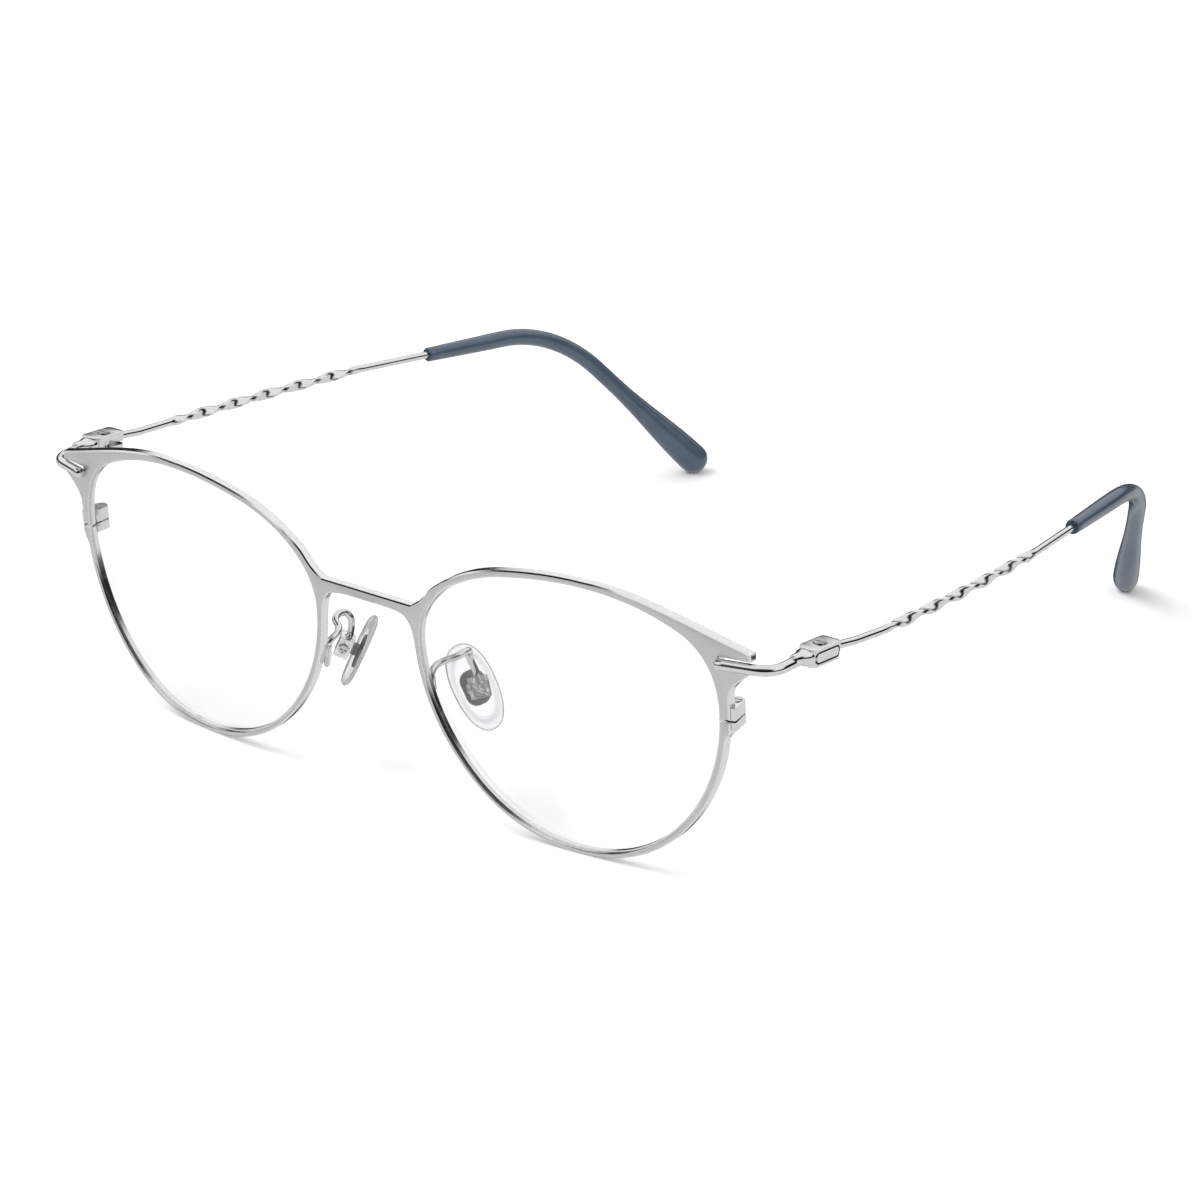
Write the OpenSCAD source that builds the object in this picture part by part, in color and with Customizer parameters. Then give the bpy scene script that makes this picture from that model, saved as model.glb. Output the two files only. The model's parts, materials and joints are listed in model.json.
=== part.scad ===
// Wire spectacles with a flat-cut metal front, twisted wire temples and screw-on silicone nose pads.
// Frame: X across the face, Y from the front towards the temple tips, Z up from the table.
// Origin: on the table, under the middle of the object. Left means the wearer's left, which is +X.
// The glasses stand open on the bottoms of both rims and on the ends of both temple tips.

/* [Lenses] */
// Boxed width of one lens
lens_w = 50.8; // [48.8:0.2:52.8]
// Distance between the two lenses
bridge_w = 18.8; // [17.8:0.2:20.8]
// Thickness of a lens
lens_t = 1.1; // [0.9:0.05:1.2]
// Depth of the groove that holds the lens
groove = 0.35; // [0.3:0.05:0.4]

/* [Front] */
// Width of the rims seen from the front, where they are widest, beside the bridge
rim_w = 1; // [0.95:0.05:1.2]
// Thickness of the front from face to back
front_t = 1.5; // [1.4:0.1:2]
// Radius to which the whole front is bowed
front_bow = 353; // [300:5:420]
// How far the front leans forward at the top, in degrees
front_lean = 4.6; // [3:0.2:7]
// Height of the bridge bar
bridge_h = 1.45; // [1.2:0.05:1.8]
// Saw cut that opens each rim for its lens
rim_cut = 0.3; // [0.2:0.05:0.4]

/* [End pieces and hinges] */
// Diameter of the wire that carries the hinge
arm_wire_d = 1.6; // [1.4:0.05:1.7]
// Width of the hinge block
block_w = 3.4; // [3.2:0.1:3.8]
// Height of the hinge block
block_h = 2.6; // [2.5:0.1:3]
// Length of the hinge block behind its screw
block_rear = 3; // [2.8:0.1:3.4]
// Thickness of the temple eye inside the hinge block
eye_t = 1.2; // [1:0.05:1.3]
// Diameter of the hinge screw's shank
hinge_screw_d = 1.16; // [1:0.02:1.2]
// Diameter of the hinge screw's head
hinge_head_d = 1.9; // [1.7:0.05:2]

/* [Temples] */
// How steeply the temples fall towards the rear, in degrees
temple_fall = 4; // [3:0.5:5]
// Distance from the hinge screw to the top of the ear bend
ear_y = 99.7; // [94:0.5:104]
// Diameter of the plain temple wire
temple_wire_d = 1.15; // [1.05:0.05:1.2]
// Width of the flat that is twisted
twist_w = 1.65; // [1.5:0.05:1.8]
// Thickness of the flat that is twisted
twist_t = 0.8; // [0.7:0.05:0.9]
// Number of half turns in the twisted length, an even number
half_turns = 6; // [4:2:8]
// Radius of the ear bend
ear_bend_r = 25; // [20:1:28]
// Diameter of the tip sleeve at its open end
sleeve_d = 2.3; // [2.1:0.1:2.5]
// Diameter of the tip sleeve in the ear bend
sleeve_mid_d = 2.7; // [2.6:0.1:2.8]
// Width of the paddle at the end of the tip
paddle_w = 5; // [4.4:0.1:5.4]
// Thickness of the paddle at the end of the tip
paddle_t = 4.1; // [3.8:0.1:4.4]

/* [Nose pads] */
// Length of a pad
pad_l = 13.6; // [12.6:0.2:14.6]
// Width of a pad
pad_w = 6.8; // [6.4:0.2:7.4]
// Thickness of a pad
pad_t = 1.8; // [1.7:0.1:2]
// Diameter of the pad arm's wire
pad_wire_d = 1.05; // [0.9:0.05:1.1]
// Diameter of the pad screw's shank
pad_screw_d = 0.9; // [0.8:0.02:0.92]

/* [Hidden] */

$fn = 48;
steel = [0.74, 0.74, 0.72];
polished = [0.82, 0.82, 0.81];
slate = [0.30, 0.35, 0.41];
silicone = [0.88, 0.92, 0.95, 0.45];
clear = [0.90, 0.95, 0.97, 0.30];

// Gap left in a soldered or cemented seam, so that the pieces stay separate solids
seam = 0.02;
// Points round a bent bar
ring_sides = 14;
// Radial play of a screw's shank in a wall and in the part that turns on it
wall_play = 0.02;
eye_play = 0.04;

// --- Rim outline -----------------------------------------------------------------------------
// Stations of the lens opening, anticlockwise from the upper temple corner: x and z from the lens
// centre and the heading of the edge there, for an opening 50.1 mm wide, and the width of the rim
// there as a share of rim_w. Each span between two stations turns evenly from one heading to the
// next.
rim_stations = [[19.1, 17.25, 152.1, 0.72], [-9.8, 19.85, 190.9, 0.8], [-25.1, 5.55, 271.1, 1],
    [-15.9, -14.75, 316.9, 0.65], [4.4, -21.05, 366.8, 0.75], [24.2, -1.65, 436.5, 0.95]];
station_scale = (lens_w - 2 * groove) / 50.1;
span_steps = 10;
lens_x = bridge_w / 2 + lens_w / 2;
lens_z = -11.15 * station_scale;
// Temple side of the lens opening
open_x = lens_x + lens_w / 2 - groove;

function along(heading) = [cos(heading), sin(heading)];
function bezier(a, b, c, d, t) =
    pow(1 - t, 3) * a + 3 * t * pow(1 - t, 2) * b + 3 * t * t * (1 - t) * c + pow(t, 3) * d;
function bezier_run(a, b, c, d, t) =
    pow(1 - t, 2) * (b - a) + 2 * t * (1 - t) * (c - b) + t * t * (d - c);
function place(s) = [s.x, s.y];
// Points of a span from station a to station b, moved out to the right of the travel by an amount
// that changes from grow_a to grow_b
function span(a, b, grow_a = 0, grow_b = 0, steps = span_steps) =
    let(
        turn = b.z - a.z,
        chord = norm(place(b) - place(a)),
        reach = abs(turn) < 1 ? chord / 3 : chord * 2 / 3 * tan(turn / 4) / sin(turn / 2),
        b1 = place(a) + reach * along(a.z),
        b2 = place(b) - reach * along(b.z)
    )
    [for (i = [0:steps - 1])
        let(
            t = i / steps,
            p = bezier(place(a), b1, b2, place(b), t),
            run = unit(bezier_run(place(a), b1, b2, place(b), t))
        )
        p + (grow_a + (grow_b - grow_a) * t) * [run.y, -run.x]];
function unit(v) = v / norm(v);
function on_face(s) = [lens_x + s.x * station_scale, lens_z + s.y * station_scale, s.z];
// Outline of the opening grown by a fixed amount, and by a share of the local rim width
function opening(grow, rim_share = 0) =
    let(n = len(rim_stations))
    [for (i = [0:n - 1])
        let(
            last = i == n - 1,
            from = rim_stations[i],
            to = rim_stations[(i + 1) % n],
            turned = on_face(to) + (last ? [0, 0, 360] : [0, 0, 0])
        )
        each span(on_face(from), turned, grow + rim_share * from[3], grow + rim_share * to[3])];
function rim_edge() = opening(0, rim_w);

// --- Stance ----------------------------------------------------------------------------------
function bow(x) = front_bow - sqrt(front_bow * front_bow - x * x);
bridge_z = -min([for (p = rim_edge()) p.y * cos(front_lean) + bow(p.x) * sin(front_lean)]);
pin_x = open_x + 8.1;
pin_y = 17.8;
pin_z = bridge_z + 2.53;
// From the pin to the end of the tip: inward, rearward and down to the table
tip_in = 24.2;
tip_y = ear_y + 21.9;
// The rounded end reaches this far down and back from its middle
tip_reach = paddle_w / 2 - 0.03;
tip_z = -(pin_z - tip_y * sin(temple_fall) - tip_reach) / cos(temple_fall);
overall_y = pin_y + tip_y * cos(temple_fall) + tip_z * sin(temple_fall) + tip_reach;
// The tops of the rims lean a little in front of the bridge
front_reach = -min([for (p = rim_edge()) bow(p.x) * cos(front_lean) - p.y * sin(front_lean)]);
front_y = -(overall_y - front_reach) / 2;

// --- Hinge -----------------------------------------------------------------------------------
block_front = 3.6;
outer_wall = 0.65;
slot_h = eye_t + 0.1;
eye_r = 1;
head_t = 0.4;
head_seat = 0.25;

// --- Nose pads -------------------------------------------------------------------------------
pad_turn = [-23.6, -5.5, 57.6];
pad_at = [bridge_w / 2 + 1.7, 11.5, bridge_z - 15.82];
// Lean of the pad's outline in its own plane
pad_lean = -12.5;
box_size = [2.7, 2.2, 3.2];
box_wall = 0.5;
box_back_wall = 0.3;
box_y = -pad_t / 2 - 0.35 - box_size.y / 2;
core_t = 0.4;

// --- Shared helpers --------------------------------------------------------------------------
module both_ways(side) {
    if (side > 0) children();
    else mirror([1, 0, 0]) children();
}

// Frame at p with +Z along d and +X leaning towards side
module stand_at(p, d, side) {
    x = unit(side - (side * d) * d);
    y = cross(d, x);
    multmatrix([[x.x, y.x, d.x, p.x], [x.y, y.y, d.y, p.y], [x.z, y.z, d.z, p.z], [0, 0, 0, 1]])
        children();
}

function run_of(points, i) = unit(points[i + 1] - points[i]);

// Path along straights with an arc of its own radius at each inner point, 8 degrees or less a step
function bent_path(points, bends) =
    let(last = len(points) - 1)
    concat([points[0]], [for (i = [1:1:last - 1]) each arc_at(points, i, bends[i - 1])],
        [points[last]]);
function arc_at(points, i, r) =
    let(
        d = run_of(points, i - 1),
        e = run_of(points, i),
        turn = acos(d * e),
        inward = unit(e - (e * d) * d),
        start = points[i] - r * tan(turn / 2) * d,
        steps = max(2, ceil(turn / 8))
    )
    [for (k = [0:steps])
        let(a = turn * k / steps)
        start + r * ((1 - cos(a)) * inward + sin(a) * d)];

// Smooth path through all the points, four steps to a span
function smooth_path(points) =
    let(last = len(points) - 1)
    concat([for (i = [0:last - 1], t = [0:0.25:0.75])
        let(
            a = points[max(i - 1, 0)],
            b = points[i],
            c = points[i + 1],
            d = points[min(i + 2, last)]
        )
        b + t / 2 * (c - a + t * (2 * a - 5 * b + 4 * c - d + t * (3 * (b - c) + d - a)))],
        [points[last]]);

// Directions of a path at its points, and sideways directions that turn as little as they can
function headings(path) =
    let(last = len(path) - 1)
    [for (i = [0:last]) unit(path[min(i + 1, last)] - path[max(i - 1, 0)])];
function sideways(dirs, first) =
    [for (i = 0, v = square_to(first, dirs[0]); i < len(dirs);
        i = i + 1, v = i < len(dirs) ? square_to(v, dirs[i]) : v) v];
function square_to(v, d) = unit(v - (v * d) * d);

// Closed ring of points round p: an oval of full size w by h, from round (2) to squarish (5)
function ring(p, d, side, w, h, turn = 0, fullness = 2) =
    let(up = cross(d, side))
    [for (k = [0:ring_sides - 1])
        let(
            a = 360 * k / ring_sides,
            reach = pow(pow(abs(2 * cos(a) / w), fullness) + pow(abs(2 * sin(a) / h), fullness),
                -1 / fullness)
        )
        p + reach * (cos(a + turn) * side + sin(a + turn) * up)];

// Rings of a round bar along a path
function bar_rings(path, d, first) =
    let(dirs = headings(path), sides = sideways(dirs, first))
    [for (i = [0:len(path) - 1]) ring(path[i], dirs[i], sides[i], d, d)];

// Closed solid skinned over a row of rings
module skin(rings) {
    n = ring_sides;
    rows = len(rings);
    polyhedron(points = [for (r = rings) each r],
        faces = concat([[for (k = [0:n - 1]) k]], [[for (k = [n - 1:-1:0]) (rows - 1) * n + k]],
            [for (i = [0:rows - 2], k = [0:n - 1], half = [0, 1])
                let(a = i * n + k, b = i * n + (k + 1) % n)
                half == 0 ? [a, a + n, b] : [b, a + n, b + n]]));
}

module bent_bar(points, bends, d, first) {
    skin(bar_rings(bent_path(points, bends), d, first));
}

// Rectangle with round corners, centred
module round_plate(w, h, r) {
    square([w - 2 * r, h], center = true);
    square([w, h - 2 * r], center = true);
    for (x = [-1, 1], y = [-1, 1]) translate([x * (w / 2 - r), y * (h / 2 - r)]) circle(r = r);
}

// Frame of the front: X across, Y into the front from its face, Z up the lens
module on_front() {
    translate([0, front_y, bridge_z]) rotate([front_lean, 0, 0]) children();
}

// Frame on the bowed face at x: X along the face, Y into the front
module at_face(x, z) {
    translate([x, bow(x), z]) rotate([0, 0, asin(x / front_bow)]) children();
}

// Sheet of the bowed front between two depths, cut to a flat outline
module bowed_sheet(from, to) {
    intersection() {
        translate([0, 14, 0]) rotate([90, 0, 0]) linear_extrude(height = 18) children();
        difference() {
            bow_cylinder(from);
            bow_cylinder(to);
        }
    }
}

module bow_cylinder(depth) {
    translate([0, front_bow, -40]) cylinder(r = front_bow - depth, h = 60, $fn = 720);
}

// Frame of a temple's hinge, +Y towards the rear along the temple and +Z along the screw
module on_hinge() {
    translate([pin_x, front_y + pin_y, pin_z]) rotate([-temple_fall, 0, 0]) children();
}

module on_pad() {
    translate([0, front_y, 0]) translate(pad_at) rotate(pad_turn) children();
}

// --- Front frame -----------------------------------------------------------------------------
tip_x = open_x + 5;
end_slot_x = open_x + 0.2;
end_slot_top = 3.72;
wire_start = [open_x + 0.3, 4.36, bridge_z + 3.06];
wire_turn = [pin_x - 0.23, 7.05, pin_z + 0.28];
wire_run = unit(wire_turn - wire_start);
closing_z = -6.4;
closing_x = open_x + 1.5;
// Front edge and width of the lens groove, and the play of the lens in it
groove_from = 0.4;
groove_w = 0.65;
lens_play = 0.04;

// Broad temple end of the front; its upper edge runs into the rim near the crest of the lens
module end_flare_outline() {
    shoulder = [44.5 / 59.8 * open_x, 10.3, 171];
    crest = rim_edge()[6] - [0, 0.02];
    brow = concat(span([tip_x, 4.65, 163.5], shoulder), span(shoulder, [crest.x, crest.y, 180]));
    under = span([closing_x, -2.9, 90], [tip_x, 1.55, 36]);
    polygon(concat(brow, [crest, [shoulder.x, 8], [open_x - 1, -6], [open_x, -9.6]],
        span([open_x + 0.85, -9.4, 85], [closing_x, -8.1, 90]), under, [[tip_x, 1.55]]));
}

module bridge_outline() {
    rim_x = bridge_w / 2 - 0.65;
    under = bridge_h + 0.3;
    notch = [bridge_w / 2 - 1, 0, 31];
    above = [bridge_w / 2 + 2, 2.6, 54];
    shoulder = [bridge_w / 2 + 7.4, 6.65, 34];
    // Edge that lies inside the rim, from below the bridge to the shoulder
    root = [[rim_x + 0.5, -6.6], [rim_x + 0.6, -4], [rim_x + 1.3, -1.6], [rim_x + 2.9, 1.6],
        [rim_x + 5.2, 4]];
    polygon(concat(span([rim_x, -6.6, 97], [6.3, -under, 168]),
        span([6.3, -under, 168], [0, -bridge_h, 180]), span([0, -bridge_h, 180], [-6.3, -under, 192]),
        span([-6.3, -under, 192], [-rim_x, -6.6, 263]),
        [[-rim_x, -6.6]], [for (p = root) [-p.x, p.y]],
        span([-shoulder.x, shoulder.y, 326], [-above.x, above.y, 306]),
        span([-above.x, above.y, 306], [-notch.x, 0, 329]), [[-notch.x, 0]],
        span(notch, above), span(above, shoulder), [place(shoulder)],
        [for (i = [len(root) - 1:-1:0]) root[i]]));
}

module rim_outline() {
    difference() {
        union() {
            polygon(rim_edge());
            end_flare_outline();
        }
        polygon(opening(0));
    }
}

// Everything cut out of the front on one side
module front_cuts() {
    bowed_sheet(groove_from, groove_from + groove_w) polygon(opening(groove));
    at_face(end_slot_x, (end_slot_top + 2.6) / 2) translate([0, -1, -(end_slot_top - 2.6) / 2])
        cube([7, front_t + 2, end_slot_top - 2.6]);
    at_face(open_x, closing_z) translate([-1.5, -1, -rim_cut / 2]) cube([4.5, front_t + 2, rim_cut]);
}

module front_frame() {
    color(steel) difference() {
        on_front() {
            for (side = [-1, 1]) both_ways(side) bowed_sheet(0, front_t) rim_outline();
            bowed_sheet(0, front_t) bridge_outline();
        }
        for (side = [-1, 1]) both_ways(side) {
            on_front() front_cuts();
            translate([0, front_y, 0]) stand_at(wire_start - 0.9 * wire_run, wire_run, [0, 0, 1])
                cylinder(d = arm_wire_d + 2 * seam, h = 8);
        }
    }
}

module lens(side) {
    middle = groove_from + groove_w / 2;
    both_ways(side) color(clear) on_front() {
        bowed_sheet(middle - lens_t / 2, middle + lens_t / 2) polygon(opening(-lens_play));
        bowed_sheet(groove_from + lens_play, groove_from + groove_w - lens_play)
            polygon(opening(groove - lens_play));
    }
}

// --- Closing blocks: the pair of lugs that clamps the cut rim round the lens ------------------
closing_back = 4.3;
closing_out = 2.3;
closing_screw_x = 1.2;
closing_screw_y = 3.1;
closing_screw_d = 1;
closing_head_d = 1.5;
upper_h = 1.9;
lower_h = 1.4;

// Plan of a lug, hooked round the outer edge and the back of the rim, with a rounded rear end
module lug_plan() {
    nose_r = 0.4;
    rear_r = (closing_out - 0.1) / 2;
    wall_turn = asin(open_x / front_bow);
    deep = front_t + seam;
    wall_front = (closing_x - open_x + seam) / cos(wall_turn);
    wall_back = wall_front + deep * tan(wall_turn);
    difference() {
        union() {
            translate([0.1, 0.9]) square([closing_out - 0.1, closing_back - 0.9 - rear_r]);
            translate([0.1 + rear_r, closing_back - rear_r]) circle(r = rear_r);
            translate([closing_out - nose_r, 0.3 + nose_r]) circle(r = nose_r);
            translate([1.4, 0.3]) square([closing_out - nose_r - 1.4, nose_r + 0.3]);
        }
        polygon([[-1, -1], [wall_front - tan(wall_turn), -1], [wall_back, deep], [-1, deep]]);
    }
}

module closing_block(side, upper) {
    z0 = upper ? rim_cut / 2 : -rim_cut / 2 - lower_h;
    h = upper ? upper_h : lower_h;
    both_ways(side) color(polished) on_front() at_face(open_x, closing_z)
        difference() {
            translate([0, 0, z0]) linear_extrude(height = h) lug_plan();
            translate([closing_screw_x, closing_screw_y, z0 - 1])
                cylinder(r = closing_screw_d / 2 + wall_play, h = h + 2);
            if (upper) translate([closing_screw_x, closing_screw_y, z0 + h - 0.3])
                cylinder(r = closing_head_d / 2 + 0.05, h = 1);
        }
}

module closing_screw(side) {
    top = rim_cut / 2 + upper_h;
    both_ways(side) color(polished) on_front() at_face(open_x, closing_z)
        translate([closing_screw_x, closing_screw_y, 0]) difference() {
            union() {
                translate([0, 0, -rim_cut / 2 - lower_h])
                    cylinder(d = closing_screw_d, h = lower_h + top);
                translate([0, 0, top - 0.3 + seam]) cylinder(d = closing_head_d, h = 0.4);
            }
            translate([-1, -0.12, top]) cube([2, 0.24, 1]);
        }
}

// --- End piece: the wire that leaves the front and carries the hinge block --------------------
module end_piece(side) {
    both_ways(side) color(polished) difference() {
        union() {
            translate([0, front_y, 0]) bent_bar(
                [wire_start, wire_turn, [pin_x, pin_y - block_front - 1, pin_z + 0.32]], [3.6],
                arm_wire_d, [0, 0, 1]);
            on_hinge() hinge_block();
        }
        on_hinge() hinge_cuts();
    }
}

// Block with a round corner towards the nose and a collar in which the wire ends
module hinge_block() {
    corner = block_w / 2 + 0.2;
    side_x = block_w / 2;
    translate([0, 0, -block_h / 2]) linear_extrude(height = block_h)
        polygon(concat([[side_x, -block_front], [side_x, block_rear], [-side_x, block_rear]],
            [for (a = [180:15:270]) [corner - side_x, corner - block_front] + corner * along(a)]));
    translate([0, -block_front - 2, 0]) rotate([-90, 0, 0])
        cylinder(r1 = arm_wire_d / 2 + 0.08, r2 = block_h / 2 - 0.1, h = 3);
}

module hinge_cuts() {
    ring_w = 0.28;
    wall_x = block_w / 2 - outer_wall;
    translate([-block_w, -1.55, -slot_h / 2]) cube([block_w + wall_x, block_rear + 3, slot_h]);
    translate([0, 0, -block_h]) cylinder(r = hinge_screw_d / 2 + wall_play, h = 2 * block_h);
    translate([0, 0, block_h / 2 - head_seat]) cylinder(r = hinge_head_d / 2 + 0.05, h = 1);
    translate([block_w / 2 - 0.2, -0.35, 0]) rotate([90, 0, 90]) linear_extrude(height = 1)
        difference() {
            round_plate(5.3, 1.6, 0.6);
            round_plate(5.3 - 2 * ring_w, 1.6 - 2 * ring_w, 0.6 - ring_w);
        }
}

module hinge_screw(side) {
    head_z = block_h / 2 - head_seat + seam;
    both_ways(side) color(polished) on_hinge() difference() {
        union() {
            translate([0, 0, -block_h / 2]) cylinder(d = hinge_screw_d, h = block_h);
            translate([0, 0, head_z]) cylinder(d = hinge_head_d, h = head_t);
        }
        translate([-2, -0.14, head_z + head_t - 0.18]) cube([4, 0.28, 1]);
    }
}

// --- Temples ---------------------------------------------------------------------------------
// Bend points of the temple wire from the hinge, inward being -X
eye_out = [0.15, block_rear + 0.5, 0];
jog = [0.3, 8, -0.4];
twist_start = [0.5, 15, -0.5];
twist_mid = [-0.4, 36.5, -0.3];
twist_end = [-2.35, 58, 0];
ear = [-9.7, ear_y, 0.1];
tip_end = [-tip_in, tip_y, tip_z];
sleeve_start = twist_end + 14.5 * unit(ear - twist_end);
// The core wire ends this far before the middle of the paddle
core_short = 8;
// Sideways direction of the temple, across the thickness of its paddle
temple_side = [0.83, 0.56, 0];

// Eye that turns on the hinge screw, with the tongue that leaves the block
module temple_eye() {
    tongue_in = 0.75;
    tongue_out = block_w / 2 - outer_wall - 0.08;
    translate([0, 0, -eye_t / 2]) difference() {
        union() {
            cylinder(r = eye_r, h = eye_t);
            translate([-tongue_in, 0, 0]) cube([tongue_in + tongue_out, block_rear + 0.7, eye_t]);
        }
        translate([0, 0, -1]) cylinder(r = hinge_screw_d / 2 + eye_play, h = eye_t + 2);
    }
}

// Path of the twisted length, gently bowed
twist_steps = 10 * half_turns;
// Steps in which the round wire flattens at either end of it
run_in = 5;
twist_path = [for (k = [0:twist_steps])
    let(t = k / twist_steps)
    (1 - t) * (1 - 2 * t) * twist_start + 4 * t * (1 - t) * twist_mid + t * (2 * t - 1) * twist_end];
core_end = tip_end - core_short * unit(tip_end - ear);

// Rings of the whole temple wire: round, then flat and twisted, then round again
function temple_rings() =
    let(
        front = [eye_out, jog, twist_start - [0, 0.6, 0]],
        rear = bent_path([twist_end + 0.6 * unit(ear - twist_end), ear, core_end], [ear_bend_r]),
        path = concat(front, twist_path, rear),
        dirs = headings(path),
        sides = sideways(dirs, [0, 0, 1]),
        twist_from = len(front)
    )
    [for (i = [0:len(path) - 1])
        let(
            k = i - twist_from,
            flat = min(1, max(0, min(k, twist_steps - k) / run_in)),
            w = temple_wire_d + (twist_w - temple_wire_d) * flat,
            t = temple_wire_d + (twist_t - temple_wire_d) * flat
        )
        ring(path[i], dirs[i], sides[i], w, t, flat > 0 ? 180 * half_turns * k / twist_steps : 0,
            2 + 2 * flat)];

module temple(side) {
    both_ways(side) color(polished) on_hinge() {
        temple_eye();
        skin(temple_rings());
    }
}

// Share of the swelling reached at t along the drop of the tip, from 0 to 1
function swelling(t) = t < 0.25 ? 0 : (1 - cos(180 * (t - 0.25) / 0.75)) / 2;

// Rings of the tip sleeve: up its bore from the blind end, round its mouth and down its outside
function tip_rings() =
    let(
        inner = bent_path([core_end + 0.5 * unit(tip_end - ear), ear, sleeve_start], [ear_bend_r]),
        bore = temple_wire_d + 2 * eye_play,
        bore_dirs = headings(inner),
        neck = bent_path([sleeve_start, ear, tip_end], [ear_bend_r]),
        last = len(neck) - 1,
        drop = neck[last - 1],
        down = unit(tip_end - drop),
        dirs = headings([for (i = [0:last - 1]) neck[i]]),
        end_side = square_to(temple_side, down)
    )
    concat([for (i = [0:len(inner) - 1])
            ring(inner[i], -bore_dirs[i], square_to(temple_side, bore_dirs[i]), bore, bore)],
        [for (i = [0:last - 1])
            let(d = sleeve_d + (sleeve_mid_d - sleeve_d) * min(1, i / 2))
            ring(neck[i], dirs[i], square_to(temple_side, dirs[i]), d, d)],
        [for (k = [1:8])
            let(t = k / 8, s = swelling(t))
            ring(drop + t * (tip_end - drop), down, end_side,
                sleeve_mid_d + (paddle_t - sleeve_mid_d) * s, sleeve_mid_d + (paddle_w - sleeve_mid_d) * s)],
        [for (a = [72:-18:18])
            ring(tip_end + paddle_w / 2 * cos(a) * down, down, end_side,
                paddle_t * sin(a), paddle_w * sin(a))]);

module temple_tip(side) {
    both_ways(side) color(slate) on_hinge() skin(tip_rings());
}

// --- Nose pads -------------------------------------------------------------------------------
function spin_x(v, a) = [v.x, v.y * cos(a) - v.z * sin(a), v.y * sin(a) + v.z * cos(a)];
function spin_y(v, a) = [v.x * cos(a) + v.z * sin(a), v.y, v.z * cos(a) - v.x * sin(a)];
function spin_z(v, a) = [v.x * cos(a) - v.y * sin(a), v.x * sin(a) + v.y * cos(a), v.z];
function pad_point(p) =
    pad_at + spin_z(spin_y(spin_x(p, pad_turn.x), pad_turn.y), pad_turn.z);

socket_depth = 0.35;
box_top = box_size.z / 2;

module pad_arm(side) {
    nasal = bridge_w / 2;
    // Up from the foot, over in a loop and down into the box
    arm_points = [[nasal + 0.62, 3.2, bridge_z - 13.4], [nasal + 0.5, 3.15, bridge_z - 12.2],
        [nasal + 0.3, 3.4, bridge_z - 11.1], [nasal + 0.15, 4.7, bridge_z - 10.4],
        [nasal + 0.75, 5.9, bridge_z - 9.95], [nasal + 2, 6.6, bridge_z - 9.35],
        [nasal + 2.5, 7.9, bridge_z - 8.95], [nasal + 2.35, 9.3, bridge_z - 9.15],
        [nasal + 1.85, 10, bridge_z - 10.4], pad_point([0, box_y, box_top + 0.7]),
        pad_point([0, box_y, box_top - socket_depth + seam])];
    both_ways(side) color(polished) {
        translate([0, front_y, 0]) skin(bar_rings(smooth_path(arm_points), pad_wire_d, [1, 0, 0]));
        on_front() pad_foot();
    }
}

// Flat foot of the arm, soldered to the back of the rim
module pad_foot() {
    at_face(bridge_w / 2 + 0.55, -13.4) rotate([0, -10, 0])
        translate([-0.45, front_t + 0.04, -2.1]) cube([0.9, 0.5, 3.8]);
}

module pad_box(side) {
    both_ways(side) color(polished) on_pad() translate([0, box_y, 0]) difference() {
        cube(box_size, center = true);
        translate([0, box_back_wall, 0])
            cube([box_size.x - 2 * box_wall, box_size.y, box_size.z - 2 * box_wall], center = true);
        rotate([0, 90, 0]) cylinder(r = pad_screw_d / 2 + wall_play, h = 6, center = true);
        translate([0, 0, box_top - socket_depth]) cylinder(r = pad_wire_d / 2 + seam, h = 1);
    }
}

module pad_screw(side) {
    head_x = -box_size.x / 2 - seam;
    both_ways(side) color(polished) on_pad() translate([0, box_y, 0]) rotate([0, 90, 0]) difference() {
        union() {
            translate([0, 0, head_x]) cylinder(d = pad_screw_d, h = box_size.x + 0.1);
            translate([0, 0, head_x - 0.35]) cylinder(d = 1.5, h = 0.35);
        }
        for (a = [0, 90]) rotate([0, 0, a]) translate([-0.11, -0.5, head_x - 1]) cube([0.22, 1, 0.85]);
    }
}

// Metal plate inside the pad with the shank that the pad screw passes through
module pad_core_shape(grow) {
    shank_w = 1.3;
    shank_r = 0.72;
    rotate([90, pad_lean, 0]) linear_extrude(height = core_t + 2 * grow, center = true)
        round_plate(3.8 + 2 * grow, 5.4 + 2 * grow, 1.6);
    translate([-shank_w / 2 - grow, box_y, -shank_r - grow])
        cube([shank_w + 2 * grow, -box_y, 2 * (shank_r + grow)]);
    translate([-shank_w / 2 - grow, box_y, 0]) rotate([0, 90, 0])
        cylinder(r = shank_r + grow, h = shank_w + 2 * grow);
}

module pad_core(side) {
    both_ways(side) color(polished) on_pad() difference() {
        pad_core_shape(0);
        translate([0, box_y, 0]) rotate([0, 90, 0])
            cylinder(r = pad_screw_d / 2 + eye_play, h = 6, center = true);
    }
}

// Makes an ellipse a little squarer
function full(c) = sign(c) * pow(abs(c), 0.88);

module nose_pad(side) {
    both_ways(side) color(silicone) on_pad() difference() {
        rotate([90, pad_lean, 0]) linear_extrude(height = pad_t, center = true)
            polygon([for (a = [0:9:351]) [pad_w / 2 * full(cos(a)), pad_l / 2 * full(sin(a))]]);
        pad_core_shape(seam);
    }
}

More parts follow.
